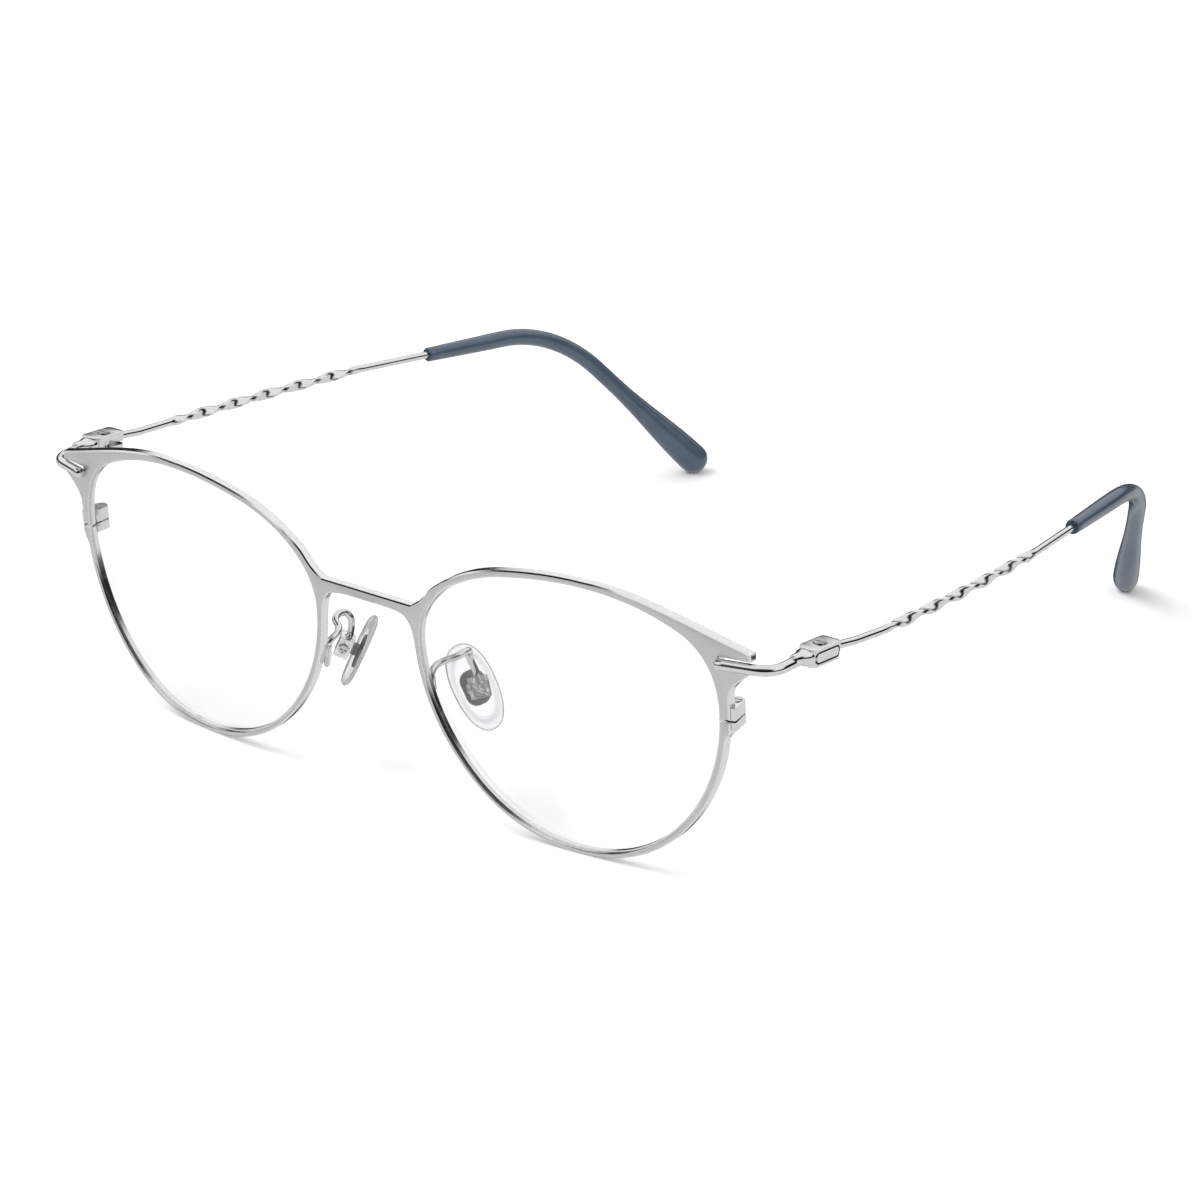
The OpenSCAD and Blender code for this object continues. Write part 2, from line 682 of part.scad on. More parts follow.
// --- Build -----------------------------------------------------------------------------------
front_frame();
lens(1);  // left_lens
lens(-1);  // right_lens
closing_block(1, true);  // left_closing_block_upper
closing_block(-1, true);  // right_closing_block_upper
closing_block(1, false);  // left_closing_block_lower
closing_block(-1, false);  // right_closing_block_lower
closing_screw(1);  // left_closing_screw
closing_screw(-1);  // right_closing_screw
end_piece(1);  // left_end_piece
end_piece(-1);  // right_end_piece
hinge_screw(1);  // left_hinge_screw
hinge_screw(-1);  // right_hinge_screw
temple(1);  // left_temple
temple(-1);  // right_temple
temple_tip(1);  // left_temple_tip
temple_tip(-1);  // right_temple_tip
pad_arm(1);  // left_pad_arm
pad_arm(-1);  // right_pad_arm
pad_box(1);  // left_pad_box
pad_box(-1);  // right_pad_box
pad_screw(1);  // left_pad_screw
pad_screw(-1);  // right_pad_screw
pad_core(1);  // left_pad_core
pad_core(-1);  // right_pad_core
nose_pad(1);  // left_nose_pad
nose_pad(-1);  // right_nose_pad
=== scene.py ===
"""Looks of the wire spectacles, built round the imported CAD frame. Lengths are in millimetres until a
mesh is made. X runs across the face, Y from the front towards the temple tips, Z up."""
import json
import math

import bmesh
import bpy
from mathutils import Matrix, Vector
from mathutils.geometry import delaunay_2d_cdt


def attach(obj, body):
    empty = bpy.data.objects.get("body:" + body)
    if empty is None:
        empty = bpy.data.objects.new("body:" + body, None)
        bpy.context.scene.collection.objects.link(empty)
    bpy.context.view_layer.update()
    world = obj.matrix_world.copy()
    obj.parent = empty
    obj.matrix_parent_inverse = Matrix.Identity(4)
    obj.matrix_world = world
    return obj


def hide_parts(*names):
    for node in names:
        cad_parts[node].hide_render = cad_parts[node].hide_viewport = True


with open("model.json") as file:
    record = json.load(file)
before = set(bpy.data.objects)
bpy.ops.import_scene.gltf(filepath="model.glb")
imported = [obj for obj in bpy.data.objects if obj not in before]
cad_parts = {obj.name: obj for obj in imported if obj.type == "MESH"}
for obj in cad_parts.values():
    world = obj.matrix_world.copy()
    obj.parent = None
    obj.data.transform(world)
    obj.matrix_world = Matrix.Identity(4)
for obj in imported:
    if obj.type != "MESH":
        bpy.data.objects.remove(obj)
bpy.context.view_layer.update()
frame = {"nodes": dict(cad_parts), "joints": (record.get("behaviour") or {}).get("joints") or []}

MM = 0.001
SHARP = 32                          # angle between faces from which an edge is hard, degrees
CUT_SHARP = 30                      # the same on carved and carried-over pieces
SIDES = {"left": 1, "right": -1}
JOINTS = {joint["name"]: joint for joint in frame["joints"]}

# --- Sizes shared with the CAD --------------------------------------------------------------------
LENS_W = 50.8
BRIDGE_W = 18.8
GROOVE = 0.35                       # depth of the lens groove in the rim
GROOVE_FROM = 0.4                   # from the front's face to the groove
GROOVE_W = 0.65
LENS_T = 1.1
LENS_PLAY = 0.04
RIM_W = 1.0                         # width of the rim at its widest
FRONT_T = 1.5
FRONT_BOW = 353.0                   # radius of the front's bow
FRONT_LEAN = math.radians(4.6)
BRIDGE_H = 1.45
RIM_CUT = 0.3                       # saw cut through the rim between the closing blocks
ARM_WIRE_D = 1.6                    # end piece wire
BLOCK_W, BLOCK_H, BLOCK_FRONT, BLOCK_REAR = 3.4, 2.6, 3.6, 3.0
OUTER_WALL = 0.65                   # hinge block wall beside the eye
EYE_T, EYE_R = 1.2, 1.0
SHANK_D = 1.16                      # hinge screw
HEAD_D = 1.9
HEAD_SEAT = 0.25                    # how far the screw head is sunk
TEMPLE_FALL = math.radians(4)
TEMPLE_D = 1.15
TWIST_W, TWIST_T = 1.65, 0.8
HALF_TURNS = 6
EAR_BEND_R = 25.0
SLEEVE_D, SLEEVE_MID_D = 2.3, 2.7
PADDLE_W, PADDLE_T = 5.0, 4.1
PAD_L, PAD_W, PAD_T = 13.6, 6.8, 1.8
PAD_WIRE_D = 1.05
PAD_LEAN = math.radians(-12.5)
PAD_TURN = [math.radians(a) for a in (-23.6, -5.5, 57.6)]
BOX_Y = -PAD_T / 2 - 0.35 - 1.1     # middle of the pad box, seen from the middle of the pad
BOX_TOP = 1.6
SOCKET = 0.35                       # how far the pad arm enters its box

# Lens opening, anticlockwise from the upper temple corner: place from the lens centre, heading in
# degrees, share of the rim width
STATIONS = [(19.1, 17.25, 152.1, 0.72), (-9.8, 19.85, 190.9, 0.8), (-25.1, 5.55, 271.1, 1.0),
            (-15.9, -14.75, 316.9, 0.65), (4.4, -21.05, 366.8, 0.75), (24.2, -1.65, 436.5, 0.95)]
STATION_SCALE = (LENS_W - 2 * GROOVE) / 50.1        # the stations stand round an opening of 50.1
LENS_X = BRIDGE_W / 2 + LENS_W / 2
LENS_Z = -11.15 * STATION_SCALE                     # middle of the lens under the bridge's top edge
OPEN_X = LENS_X + LENS_W / 2 - GROOVE               # temple end of the opening

# The hinge pin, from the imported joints, fixes the front
PIN = Vector(JOINTS["left_temple_fold"]["pos_m"]) / MM
PIN_BACK, PIN_UP = 17.8, 2.53       # from the middle of the bridge's upper edge to the pin
FRONT_Y = PIN.y - PIN_BACK
BRIDGE_Z = PIN.z - PIN_UP


# --- Small geometry helpers -----------------------------------------------------------------------
def square_to(v, d):
    """Part of v square to the direction d, as a unit vector."""
    return (v - v.dot(d) * d).normalized()


def along(degrees):
    return Vector((math.cos(math.radians(degrees)), math.sin(math.radians(degrees))))


def span(a, b, grow_a=0.0, grow_b=0.0, steps=26):
    """Points from station a to b, moved out to the right of the travel; b itself is left out."""
    pa, pb = Vector(a[:2]), Vector(b[:2])
    turn = math.radians(b[2] - a[2])
    chord = (pb - pa).length
    reach = chord / 3
    if abs(turn) > 0.02:
        reach = chord * 2 / 3 * math.tan(turn / 4) / math.sin(turn / 2)
    b1, b2 = pa + reach * along(a[2]), pb - reach * along(b[2])
    points = []
    for i in range(steps):
        t = i / steps
        u = 1 - t
        p = u ** 3 * pa + 3 * t * u * u * b1 + 3 * t * t * u * b2 + t ** 3 * pb
        run = (u * u * (b1 - pa) + 2 * t * u * (b2 - b1) + t * t * (pb - b2)).normalized()
        points.append(p + (grow_a + (grow_b - grow_a) * t) * Vector((run.y, -run.x)))
    return points


def opening(grow, rim_share=0.0):
    """Outline of the lens opening grown by a fixed amount and by a share of the rim width."""
    points = []
    for i, a in enumerate(STATIONS):
        b = STATIONS[(i + 1) % len(STATIONS)]
        turned = 360 if i == len(STATIONS) - 1 else 0
        start, end = [(LENS_X + s[0] * STATION_SCALE, LENS_Z + s[1] * STATION_SCALE, s[2] + add)
                      for s, add in ((a, 0), (b, turned))]
        points += span(start, end, grow + rim_share * a[3], grow + rim_share * b[3])
    return points


def bow(x, depth=0.0):
    return FRONT_BOW - math.sqrt((FRONT_BOW - depth) ** 2 - x * x)


def on_front(x, depth, v):
    """Row-frame place of a point given across the front, into it and up the lens."""
    y = bow(x, depth)
    c, s = math.cos(FRONT_LEAN), math.sin(FRONT_LEAN)
    return Vector((x, FRONT_Y + y * c - v * s, BRIDGE_Z + y * s + v * c))


def on_hinge(p):
    """Row-frame place of a point given from the hinge pin, Y to the rear along the temple."""
    c, s = math.cos(TEMPLE_FALL), math.sin(TEMPLE_FALL)
    return PIN + Vector((p[0], p[1] * c + p[2] * s, p[2] * c - p[1] * s))


PAD_AT = Vector((BRIDGE_W / 2 + 1.7, FRONT_Y + 11.5, BRIDGE_Z - 15.82))
PAD_SPIN = (Matrix.Rotation(PAD_TURN[2], 3, "Z") @ Matrix.Rotation(PAD_TURN[1], 3, "Y")
            @ Matrix.Rotation(PAD_TURN[0], 3, "X"))


def on_pad(p):
    return PAD_AT + PAD_SPIN @ Vector(p)


def bent_path(points, bends, step=6.0):
    """Path along straights with an arc of its own radius at each inner point."""
    points = [Vector(p) for p in points]
    path = [points[0]]
    for i, r in enumerate(bends, start=1):
        d = (points[i] - points[i - 1]).normalized()
        e = (points[i + 1] - points[i]).normalized()
        turn = d.angle(e)
        inward = square_to(e, d)
        start = points[i] - r * math.tan(turn / 2) * d
        steps = max(3, math.ceil(math.degrees(turn) / step))
        for k in range(steps + 1):
            a = turn * k / steps
            path.append(start + r * ((1 - math.cos(a)) * inward + math.sin(a) * d))
    path.append(points[-1])
    return path


def blended(t):
    """Smooth step from 0 to 1."""
    t = min(1.0, max(0.0, t))
    return t * t * (3 - 2 * t)


def smooth_path(points, steps=8):
    """Smooth path through all the points."""
    path = []
    last = len(points) - 1
    for i in range(last):
        a, b, c, d = points[max(i - 1, 0)], points[i], points[i + 1], points[min(i + 2, last)]
        for k in range(steps):
            t = k / steps
            path.append(b + t / 2 * (c - a + t * (2 * a - 5 * b + 4 * c - d + t * (3 * (b - c) + d - a))))
    return path + [points[last]]


def fill_in(path, longest):
    """The same path with its long straights divided."""
    out = [path[0]]
    for a, b in zip(path, path[1:]):
        n = max(1, math.ceil((b - a).length / longest))
        out += [a.lerp(b, k / n) for k in range(1, n + 1)]
    return out


def headings(path):
    last = len(path) - 1
    return [(path[min(i + 1, last)] - path[max(i - 1, 0)]).normalized() for i in range(last + 1)]


def sideways(dirs, first):
    """Sideways directions along a path that turn as little as they can."""
    out = [square_to(Vector(first), dirs[0])]
    for d in dirs[1:]:
        out.append(square_to(out[-1], d))
    return out


def ring(p, d, side, w, h, n, turn=0.0, fullness=2.0):
    """Closed ring round p, w wide along side and h across it, from round (2) to squarish (6)."""
    up = d.cross(side)
    points = []
    for k in range(n):
        a = 2 * math.pi * k / n
        reach = (abs(2 * math.cos(a) / w) ** fullness
                 + abs(2 * math.sin(a) / h) ** fullness) ** (-1 / fullness)
        points.append(p + reach * (math.cos(a + turn) * side + math.sin(a + turn) * up))
    return points


def bar_rings(path, d, first, n):
    dirs = headings(path)
    return [ring(p, e, s, d, d, n) for p, e, s in zip(path, dirs, sideways(dirs, first))]


def domed(rings, d, ends=(0, -1)):
    """The same rings with the first (0) and last (-1) end rounded over by half the bar's diameter."""
    out = list(rings)
    for at_end in ends:
        row = rings[at_end]
        nearer = rings[-2] if at_end else rings[1]
        middle = sum(row, Vector()) / len(row)
        outward = (middle - sum(nearer, Vector()) / len(nearer)).normalized()
        caps = []
        for a in (22, 45, 65, 80):
            t = math.radians(a)
            caps.append([middle + (p - middle) * math.cos(t) + outward * (0.5 * d * math.sin(t))
                         for p in row])
        out = out + caps if at_end else caps[::-1] + out
    return out


# --- Mesh building --------------------------------------------------------------------------------
def new_object(name, verts, faces, side=1, sharp=SHARP, slots=None):
    """Object from points in millimetres; side -1 mirrors it to the wearer's right."""
    mesh = bpy.data.meshes.new(name)
    turn = (lambda f: tuple(reversed(f))) if side < 0 else tuple
    mesh.from_pydata([(v[0] * side * MM, v[1] * MM, v[2] * MM) for v in verts], [],
                     [turn(f) for f in faces])
    if slots:
        mesh.polygons.foreach_set("material_index", slots)
    tidy_mesh(mesh, sharp)
    obj = bpy.data.objects.new(name, mesh)
    bpy.context.scene.collection.objects.link(obj)
    return obj


def tidy_mesh(mesh, sharp):
    """Welds points that coincide, faces everything outwards and marks the hard edges."""
    bm = bmesh.new()
    bm.from_mesh(mesh)
    bmesh.ops.remove_doubles(bm, verts=bm.verts, dist=1e-7)
    bmesh.ops.dissolve_degenerate(bm, edges=bm.edges, dist=1e-8)
    bmesh.ops.recalc_face_normals(bm, faces=bm.faces)
    bm.to_mesh(mesh)
    bm.free()
    mesh.polygons.foreach_set("use_smooth", [True] * len(mesh.polygons))
    mesh.set_sharp_from_angle(angle=math.radians(sharp))


class Solid:
    """Collects closed shells for one piece."""

    def __init__(self):
        self.verts, self.faces, self.slots = [], [], []

    def add(self, verts, faces, slot=0):
        base = len(self.verts)
        self.verts += verts
        self.faces += [tuple(base + i for i in f) for f in faces]
        self.slots += [slot] * len(faces)
        return self

    def skin(self, rings):
        """Closed skin over a row of rings."""
        n = len(rings[0])
        faces = [tuple(range(n - 1, -1, -1)), tuple(range((len(rings) - 1) * n, len(rings) * n))]
        for i in range(len(rings) - 1):
            for k in range(n):
                a, b = i * n + k, i * n + (k + 1) % n
                faces.append((a, b, b + n, a + n))
        return self.add([p for r in rings for p in r], faces)

    def build(self, name, side, place=None, sharp=SHARP):
        verts = [place(v) for v in self.verts] if place else self.verts
        return new_object(name, verts, self.faces, side, sharp, self.slots)


def prism(outline, low, high, holes=()):
    """Closed prism over a flat outline with optional holes, as points and faces."""
    loops = [list(outline)] + [list(h) for h in holes]
    points, rows = [], []
    for loop in loops:
        rows.append([len(points) + i for i in range(len(loop))])
        points += loop
    caps = triangles_in(points, rows)
    n = len(points)
    verts = [Vector((p[0], p[1], low)) for p in points] + [Vector((p[0], p[1], high)) for p in points]
    faces = [(a, c, b) for a, b, c in caps] + [(a + n, b + n, c + n) for a, b, c in caps]
    for row in rows:
        for a, b in zip(row, row[1:] + row[:1]):
            faces.append((a, b, b + n, a + n))
    return verts, faces


def area(loop):
    return 0.5 * sum(a[0] * b[1] - b[0] * a[1] for a, b in zip(loop, loop[1:] + loop[:1]))


def triangles_in(points, rows):
    """Triangles inside the first loop, or any other anticlockwise one, and outside the rest."""
    flat = [Vector((p[0], p[1])) for p in points]
    verts, _, faces, origin, _, inside = delaunay_2d_cdt(flat, [], rows, 1, 1e-6)
    solid = {i for i, row in enumerate(rows) if i == 0 or area([flat[k] for k in row]) > 0}
    match = [o[0] if o else min(range(len(flat)), key=lambda k: (flat[k] - verts[i]).length)
             for i, o in enumerate(origin)]
    kept = []
    for face, owners in zip(faces, inside):
        owners = set(owners)
        if owners & solid and not owners - solid:
            kept.append(tuple(match[i] for i in face))
    return [f for f in kept if len(set(f)) == 3]


def merged_outline(added, removed):
    """Boundary loops of the union of some outlines less others, solid on the left."""
    flat, rows = [], []
    for loop in added + removed:
        if area(loop) < 0:
            loop = loop[::-1]
        rows.append([len(flat) + i for i in range(len(loop))])
        flat += [Vector(p) for p in loop]
    verts, _, faces, _, _, inside = delaunay_2d_cdt(flat, [], rows, 1, 1e-5)
    follow = {}
    edges = set()
    for face, owners in zip(faces, inside):
        if any(o < len(added) for o in owners) and not any(o >= len(added) for o in owners):
            face = list(face)
            if area([verts[i] for i in face]) < 0:
                face.reverse()
            edges |= set(zip(face, face[1:] + face[:1]))
    for a, b in edges:
        if (b, a) not in edges:
            follow[a] = b
    loops = []
    while follow:
        start, at = next(iter(sorted(follow.items())))
        loop = [start]
        del follow[start]
        while at != start and at in follow:
            loop.append(at)
            at = follow.pop(at)
        loops.append(cleaned([verts[i] for i in loop]))
    return [loop for loop in loops if abs(area(loop)) > 1]


def cleaned(loop, least=0.045):
    """The loop without points that crowd their neighbour."""
    out = []
    for p in loop:
        if not out or (p - out[-1]).length > least:
            out.append(p)
    if (out[0] - out[-1]).length <= least:
        out.pop()
    return out


def insets(loop):
    """For each point of a loop, the move that takes its edge one unit into the solid."""
    moves = []
    n = len(loop)
    for i in range(n):
        d = (loop[i] - loop[i - 1]).normalized()
        e = (loop[(i + 1) % n] - loop[i]).normalized()
        nd, ne = Vector((-d.y, d.x)), Vector((-e.y, e.x))
        both = nd + ne
        if both.length < 0.2:
            both = nd
        both.normalize()
        moves.append(both / max(0.6, both.dot(nd)))
    return moves


def bowed_solid(loops, profiles):
    """Points, faces and material slots of a sheet on the bowed front. Each loop point has its own
    profile, a row of (inset, depth) from face to back. The flat face has slot 0, the rest slot 1."""
    points, rows, moves, shapes = [], [], [], []
    for loop, profile in zip(loops, profiles):
        rows.append([len(points) + i for i in range(len(loop))])
        points += loop
        moves += insets(loop)
        shapes += profile
    n = len(points)
    levels = len(shapes[0])
    verts, faces, slots = [], [], []
    for k in range(levels):
        for p, m, shape in zip(points, moves, shapes):
            q = p + m * shape[k][0]
            verts.append((q.x, shape[k][1], q.y))
    for k in range(levels - 1):
        for row in rows:
            for a, b in zip(row, row[1:] + row[:1]):
                faces.append((k * n + a, k * n + b, (k + 1) * n + b, (k + 1) * n + a))
                slots.append(1)
    for k in (0, levels - 1):
        flat = [Vector((v[0], v[2])) for v in verts[k * n:(k + 1) * n]]
        for f in triangles_in(flat, rows):
            faces.append(tuple(k * n + i for i in (f if k else f[::-1])))
            slots.append(0 if k == 0 else 1)
    return [on_front(*v) for v in verts], faces, slots


def near_outline(p, outline):
    """Distance from a point to a closed outline."""
    best = 1e9
    for a, b in zip(outline, outline[1:] + outline[:1]):
        run = b - a
        t = max(0.0, min(1.0, (p - a).dot(run) / max(run.length_squared, 1e-12)))
        best = min(best, (a + t * run - p).length)
    return best


def carve(obj, cutters):
    """Cuts the cutters out of obj and removes them."""
    for cutter in cutters:
        m = obj.modifiers.new("cut", "BOOLEAN")
        m.operation, m.object, m.solver = "DIFFERENCE", cutter, "EXACT"
    bpy.context.view_layer.update()
    evaluated = obj.evaluated_get(bpy.context.evaluated_depsgraph_get())
    mesh = bpy.data.meshes.new_from_object(evaluated)
    obj.modifiers.clear()
    obj.data = mesh
    for cutter in cutters:
        bpy.data.objects.remove(cutter)
    tidy_mesh(mesh, CUT_SHARP)


def join(obj, other):
    """Adds another object's mesh to obj and removes the other object."""
    bm = bmesh.new()
    bm.from_mesh(obj.data)
    bm.from_mesh(other.data)
    bm.to_mesh(obj.data)
    bm.free()
    bpy.data.objects.remove(other)


def soften(obj, width, segments, angle=CUT_SHARP):
    """Rounds the hard edges of a piece."""
    m = obj.modifiers.new("edges", "BEVEL")
    m.width, m.segments, m.limit_method = width * MM, segments, "ANGLE"
    m.angle_limit = math.radians(angle)
    m.miter_outer = "MITER_ARC"


def finished_copy(node, width):
    """A piece with a CAD node's own shape, its flats merged and its hard edges rounded."""
    mesh = frame["nodes"][node].data.copy()
    bm = bmesh.new()
    bm.from_mesh(mesh)
    bmesh.ops.remove_doubles(bm, verts=bm.verts, dist=2e-7)
    bmesh.ops.dissolve_limit(bm, angle_limit=math.radians(1), verts=bm.verts, edges=bm.edges)
    clean = bpy.data.meshes.new(node + "_finished")
    bm.to_mesh(clean)
    bm.free()
    tidy_mesh(clean, CUT_SHARP)
    obj = bpy.data.objects.new(node + "_finished", clean)
    bpy.context.scene.collection.objects.link(obj)
    soften(obj, width, 2)
    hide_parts(node)
    return obj


# --- Materials ------------------------------------------------------------------------------------
class Nodes:
    """Short hand for building the node tree of a material or a world."""

    def __init__(self, owner):
        self.owner = owner
        owner.use_nodes = True
        self.tree = owner.node_tree
        self.tree.nodes.clear()
        self.place = self.new("ShaderNodeTexCoord").outputs["Object"]

    def new(self, kind, **values):
        node = self.tree.nodes.new(kind)
        for key, value in values.items():
            if hasattr(node, key):
                setattr(node, key, value)
            else:
                node.inputs[key.replace("_", " ")].default_value = value
        return node

    def link(self, a, b):
        self.tree.links.new(a, b)

    def stretched(self, scale):
        """Object coordinates in millimetres times a scale on each axis."""
        node = self.new("ShaderNodeMapping")
        node.inputs["Scale"].default_value = [s / MM for s in scale]
        self.link(self.place, node.inputs["Vector"])
        return node.outputs["Vector"]

    def noise(self, scale, detail=2.0, rough=0.5):
        """Noise with so many cells a millimetre on each axis."""
        node = self.new("ShaderNodeTexNoise", Scale=1.0, Detail=detail, Roughness=rough)
        self.link(self.stretched(scale), node.inputs["Vector"])
        return node.outputs["Fac"]

    def remap(self, value, low, high, from_low=0.3, from_high=0.7):
        """Linear change of range, held at the ends; noise mostly runs from 0.3 to 0.7."""
        node = self.new("ShaderNodeMapRange")
        for key, v in (("From Min", from_low), ("From Max", from_high), ("To Min", low),
                       ("To Max", high)):
            node.inputs[key].default_value = v
        self.link(value, node.inputs["Value"])
        return node.outputs["Result"]

    def mix_colors(self, value, dark, light):
        node = self.new("ShaderNodeMixRGB")
        node.inputs["Color1"].default_value = (*dark, 1)
        node.inputs["Color2"].default_value = (*light, 1)
        self.link(value, node.inputs["Fac"])
        return node.outputs["Color"]

    def math(self, operation, a, b=None):
        node = self.new("ShaderNodeMath", operation=operation)
        for socket, value in zip(node.inputs, (a, b)):
            if value is None:
                continue
            if isinstance(value, (int, float)):
                socket.default_value = value
            else:
                self.link(value, socket)
        return node.outputs[0]

    def bump(self, height, strength, distance=0.02):
        node = self.new("ShaderNodeBump", Strength=strength, Distance=distance * MM)
        self.link(height, node.inputs["Height"])
        return node.outputs["Normal"]

    def mixed(self, share, first, second):
        node = self.new("ShaderNodeMixShader")
        for socket, source in zip(node.inputs, (share, first, second)):
            self.link(source, socket)
        return node.outputs[0]

    def reflected(self):
        """One for rays mirrored by a surface, zero for those that are seen straight or refracted."""
        path = self.new("ShaderNodeLightPath")
        straight = self.math("SUBTRACT", 1.0, path.outputs["Is Transmission Ray"])
        return self.math("MULTIPLY", path.outputs["Is Glossy Ray"], straight)

    def past_cards(self, ray, bright, cards):
        """Brightness that polished metal finds along a ray, with black cards in the way."""
        for card, outer, inner in cards:
            dot = self.new("ShaderNodeVectorMath", operation="DOT_PRODUCT")
            self.link(ray, dot.inputs[0])
            dot.inputs[1].default_value = Vector(card).normalized()
            bright = self.math("MULTIPLY", bright, self.remap(dot.outputs["Value"], 1, 0.02, outer, inner))
        return bright

    def surface(self, shader, output="ShaderNodeOutputMaterial"):
        self.link(shader, self.new(output).inputs["Surface"])
        return self.owner


# Black cards seen in reflections: direction, and the cosines between which each one fades in. They
# stand at the camera, above the front, beside the temple and, lying low, beyond the object.
SKY_CARDS = [((0.57, -0.73, 0.38), 0.74, 0.86), ((-0.57, -0.137, 0.812), 0.9, 0.97),
             ((0.685, 0.73, 0.12), 0.9, 0.96)]
# The low card is painted into the floor's glow for mirrored rays, a painted dark reflection.
FLOOR_CARDS = [((-0.57, 0.73, -0.38), 0.86, 0.97)]


def brushed_metal(name, dark, light, rough, grain, strength, smudge=0.1, depth=0.012):
    """Metal with fine brush lines, drawn out along the axis whose grain number is small."""
    n = Nodes(bpy.data.materials.new(name))
    lines = n.noise(grain, detail=4.0, rough=0.6)
    broad = n.noise([0.12, 0.12, 0.12], detail=3.0)
    shader = n.new("ShaderNodeBsdfPrincipled", Metallic=1.0)
    n.link(n.mix_colors(n.remap(lines, 0, 1), dark, light), shader.inputs["Base Color"])
    roughness = n.math("ADD", n.remap(lines, rough[0], rough[1]),
                       n.remap(broad, -smudge / 2, smudge / 2))
    n.link(roughness, shader.inputs["Roughness"])
    n.link(n.bump(lines, strength, depth), shader.inputs["Normal"])
    return n.surface(shader.outputs[0])


def glossy_plastic(name, dark, light, rough):
    """Moulded plastic with a coat, faint clouding and fine handling marks."""
    n = Nodes(bpy.data.materials.new(name))
    cloud = n.noise([0.25, 0.25, 0.25], detail=4.0)
    marks = n.noise([6.0, 0.8, 6.0], detail=3.0)
    shader = n.new("ShaderNodeBsdfPrincipled", Metallic=0.0)
    shader.inputs["Coat Weight"].default_value = 0.25
    shader.inputs["Coat Roughness"].default_value = 0.08
    shader.inputs["IOR"].default_value = 1.5
    n.link(n.mix_colors(n.remap(cloud, 0, 1), dark, light), shader.inputs["Base Color"])
    n.link(n.remap(marks, rough, rough + 0.12), shader.inputs["Roughness"])
    n.link(n.bump(marks, 0.05, 0.01), shader.inputs["Normal"])
    return n.surface(shader.outputs[0])


def clear_lens(name):
    """Coated lens: almost all light passes, with a faint reflection that grows at a slant."""
    n = Nodes(bpy.data.materials.new(name))
    fresnel = n.new("ShaderNodeFresnel", IOR=1.45)
    smudge = n.noise([0.15, 0.15, 0.15], detail=4.0)
    glossy = n.new("ShaderNodeBsdfGlossy")
    n.link(n.remap(smudge, 0.01, 0.05), glossy.inputs["Roughness"])
    passing = n.new("ShaderNodeBsdfTransparent")
    n.link(n.mix_colors(n.remap(smudge, 0, 1), (0.988, 0.992, 0.992), (0.995, 0.997, 0.997)),
           passing.inputs["Color"])
    share = n.math("MULTIPLY", fresnel.outputs[0], 0.18)
    return n.surface(n.mixed(share, passing.outputs[0], glossy.outputs[0]))


def clear_silicone(name):
    """Soft clear silicone: light passes straight on, with painted shade greying it where the skin is seen
    at a slant and round the pad's edge.
    """
    n = Nodes(bpy.data.materials.new(name))
    cloud = n.noise([0.5, 0.5, 0.5], detail=3.0)
    skin = n.noise([9.0, 9.0, 9.0])
    slant = n.new("ShaderNodeLayerWeight", Blend=0.5).outputs["Facing"]
    rim = n.new("ShaderNodeAttribute", attribute_name="rim").outputs["Fac"]
    # Painted shade: the slant and the edge shade painted into the rim attribute darken the passing light
    # towards the second colour below.
    painted_grey = n.math("MAXIMUM", n.remap(slant, 0.0, 0.6, 0.5, 1.0), rim)
    depth = n.math("ADD", painted_grey, n.remap(cloud, -0.02, 0.05))
    passing = n.new("ShaderNodeBsdfTransparent")
    n.link(n.mix_colors(depth, (0.955, 0.962, 0.965), (0.70, 0.71, 0.715)), passing.inputs["Color"])
    glossy = n.new("ShaderNodeBsdfGlossy")
    n.link(n.remap(skin, 0.05, 0.14), glossy.inputs["Roughness"])
    n.link(n.bump(skin, 0.04, 0.01), glossy.inputs["Normal"])
    share = n.math("MULTIPLY", n.new("ShaderNodeFresnel", IOR=1.4).outputs[0], 0.6)
    return n.surface(n.mixed(share, passing.outputs[0], glossy.outputs[0]))


FRONT_FACE = brushed_metal("front_face", (0.59, 0.59, 0.575), (0.69, 0.69, 0.675), (0.34, 0.46),
                           [0.35, 6.0, 9.0], 0.25)
FRONT_EDGE = brushed_metal("front_edge", (0.72, 0.72, 0.71), (0.84, 0.84, 0.83), (0.08, 0.16),
                           [1.2, 1.2, 7.0], 0.08)
CHROME = brushed_metal("wire_chrome", (0.68, 0.68, 0.675), (0.76, 0.76, 0.755), (0.04, 0.1),
                       [1.6, 0.5, 1.6], 0.015, 0.04)
TWIST_METAL = brushed_metal("twist_metal", (0.66, 0.66, 0.655), (0.80, 0.80, 0.795), (0.14, 0.26),
                            [4.0, 1.5, 4.0], 0.25)
BLOCK_METAL = brushed_metal("block_metal", (0.68, 0.68, 0.67), (0.80, 0.80, 0.79), (0.12, 0.2),
                            [5.0, 0.8, 5.0], 0.1)
BOX_METAL = brushed_metal("box_metal", (0.78, 0.78, 0.77), (0.92, 0.92, 0.91), (0.1, 0.24),
                          [0.7, 0.7, 0.7], 1.0, depth=0.4)
SCREW_METAL = brushed_metal("screw_metal", (0.52, 0.52, 0.51), (0.68, 0.68, 0.67), (0.18, 0.3),
                            [4.0, 4.0, 4.0], 0.12)
# Near-black metal for the ring groove on the hinge block: painted shade in the recess.
GROOVE_SHADE = brushed_metal("groove_painted_shade", (0.04, 0.04, 0.04), (0.09, 0.09, 0.088), (0.4, 0.55),
                         [3.0, 3.0, 3.0], 0.1)
CORE_METAL = brushed_metal("core_metal", (0.28, 0.28, 0.28), (0.38, 0.38, 0.375), (0.4, 0.55),
                           [3.0, 3.0, 3.0], 0.3)
TIP_PLASTIC = glossy_plastic("tip_plastic", (0.048, 0.07, 0.102), (0.062, 0.088, 0.124), 0.16)
LENS_GLASS = clear_lens("lens_glass")
SILICONE = clear_silicone("silicone")


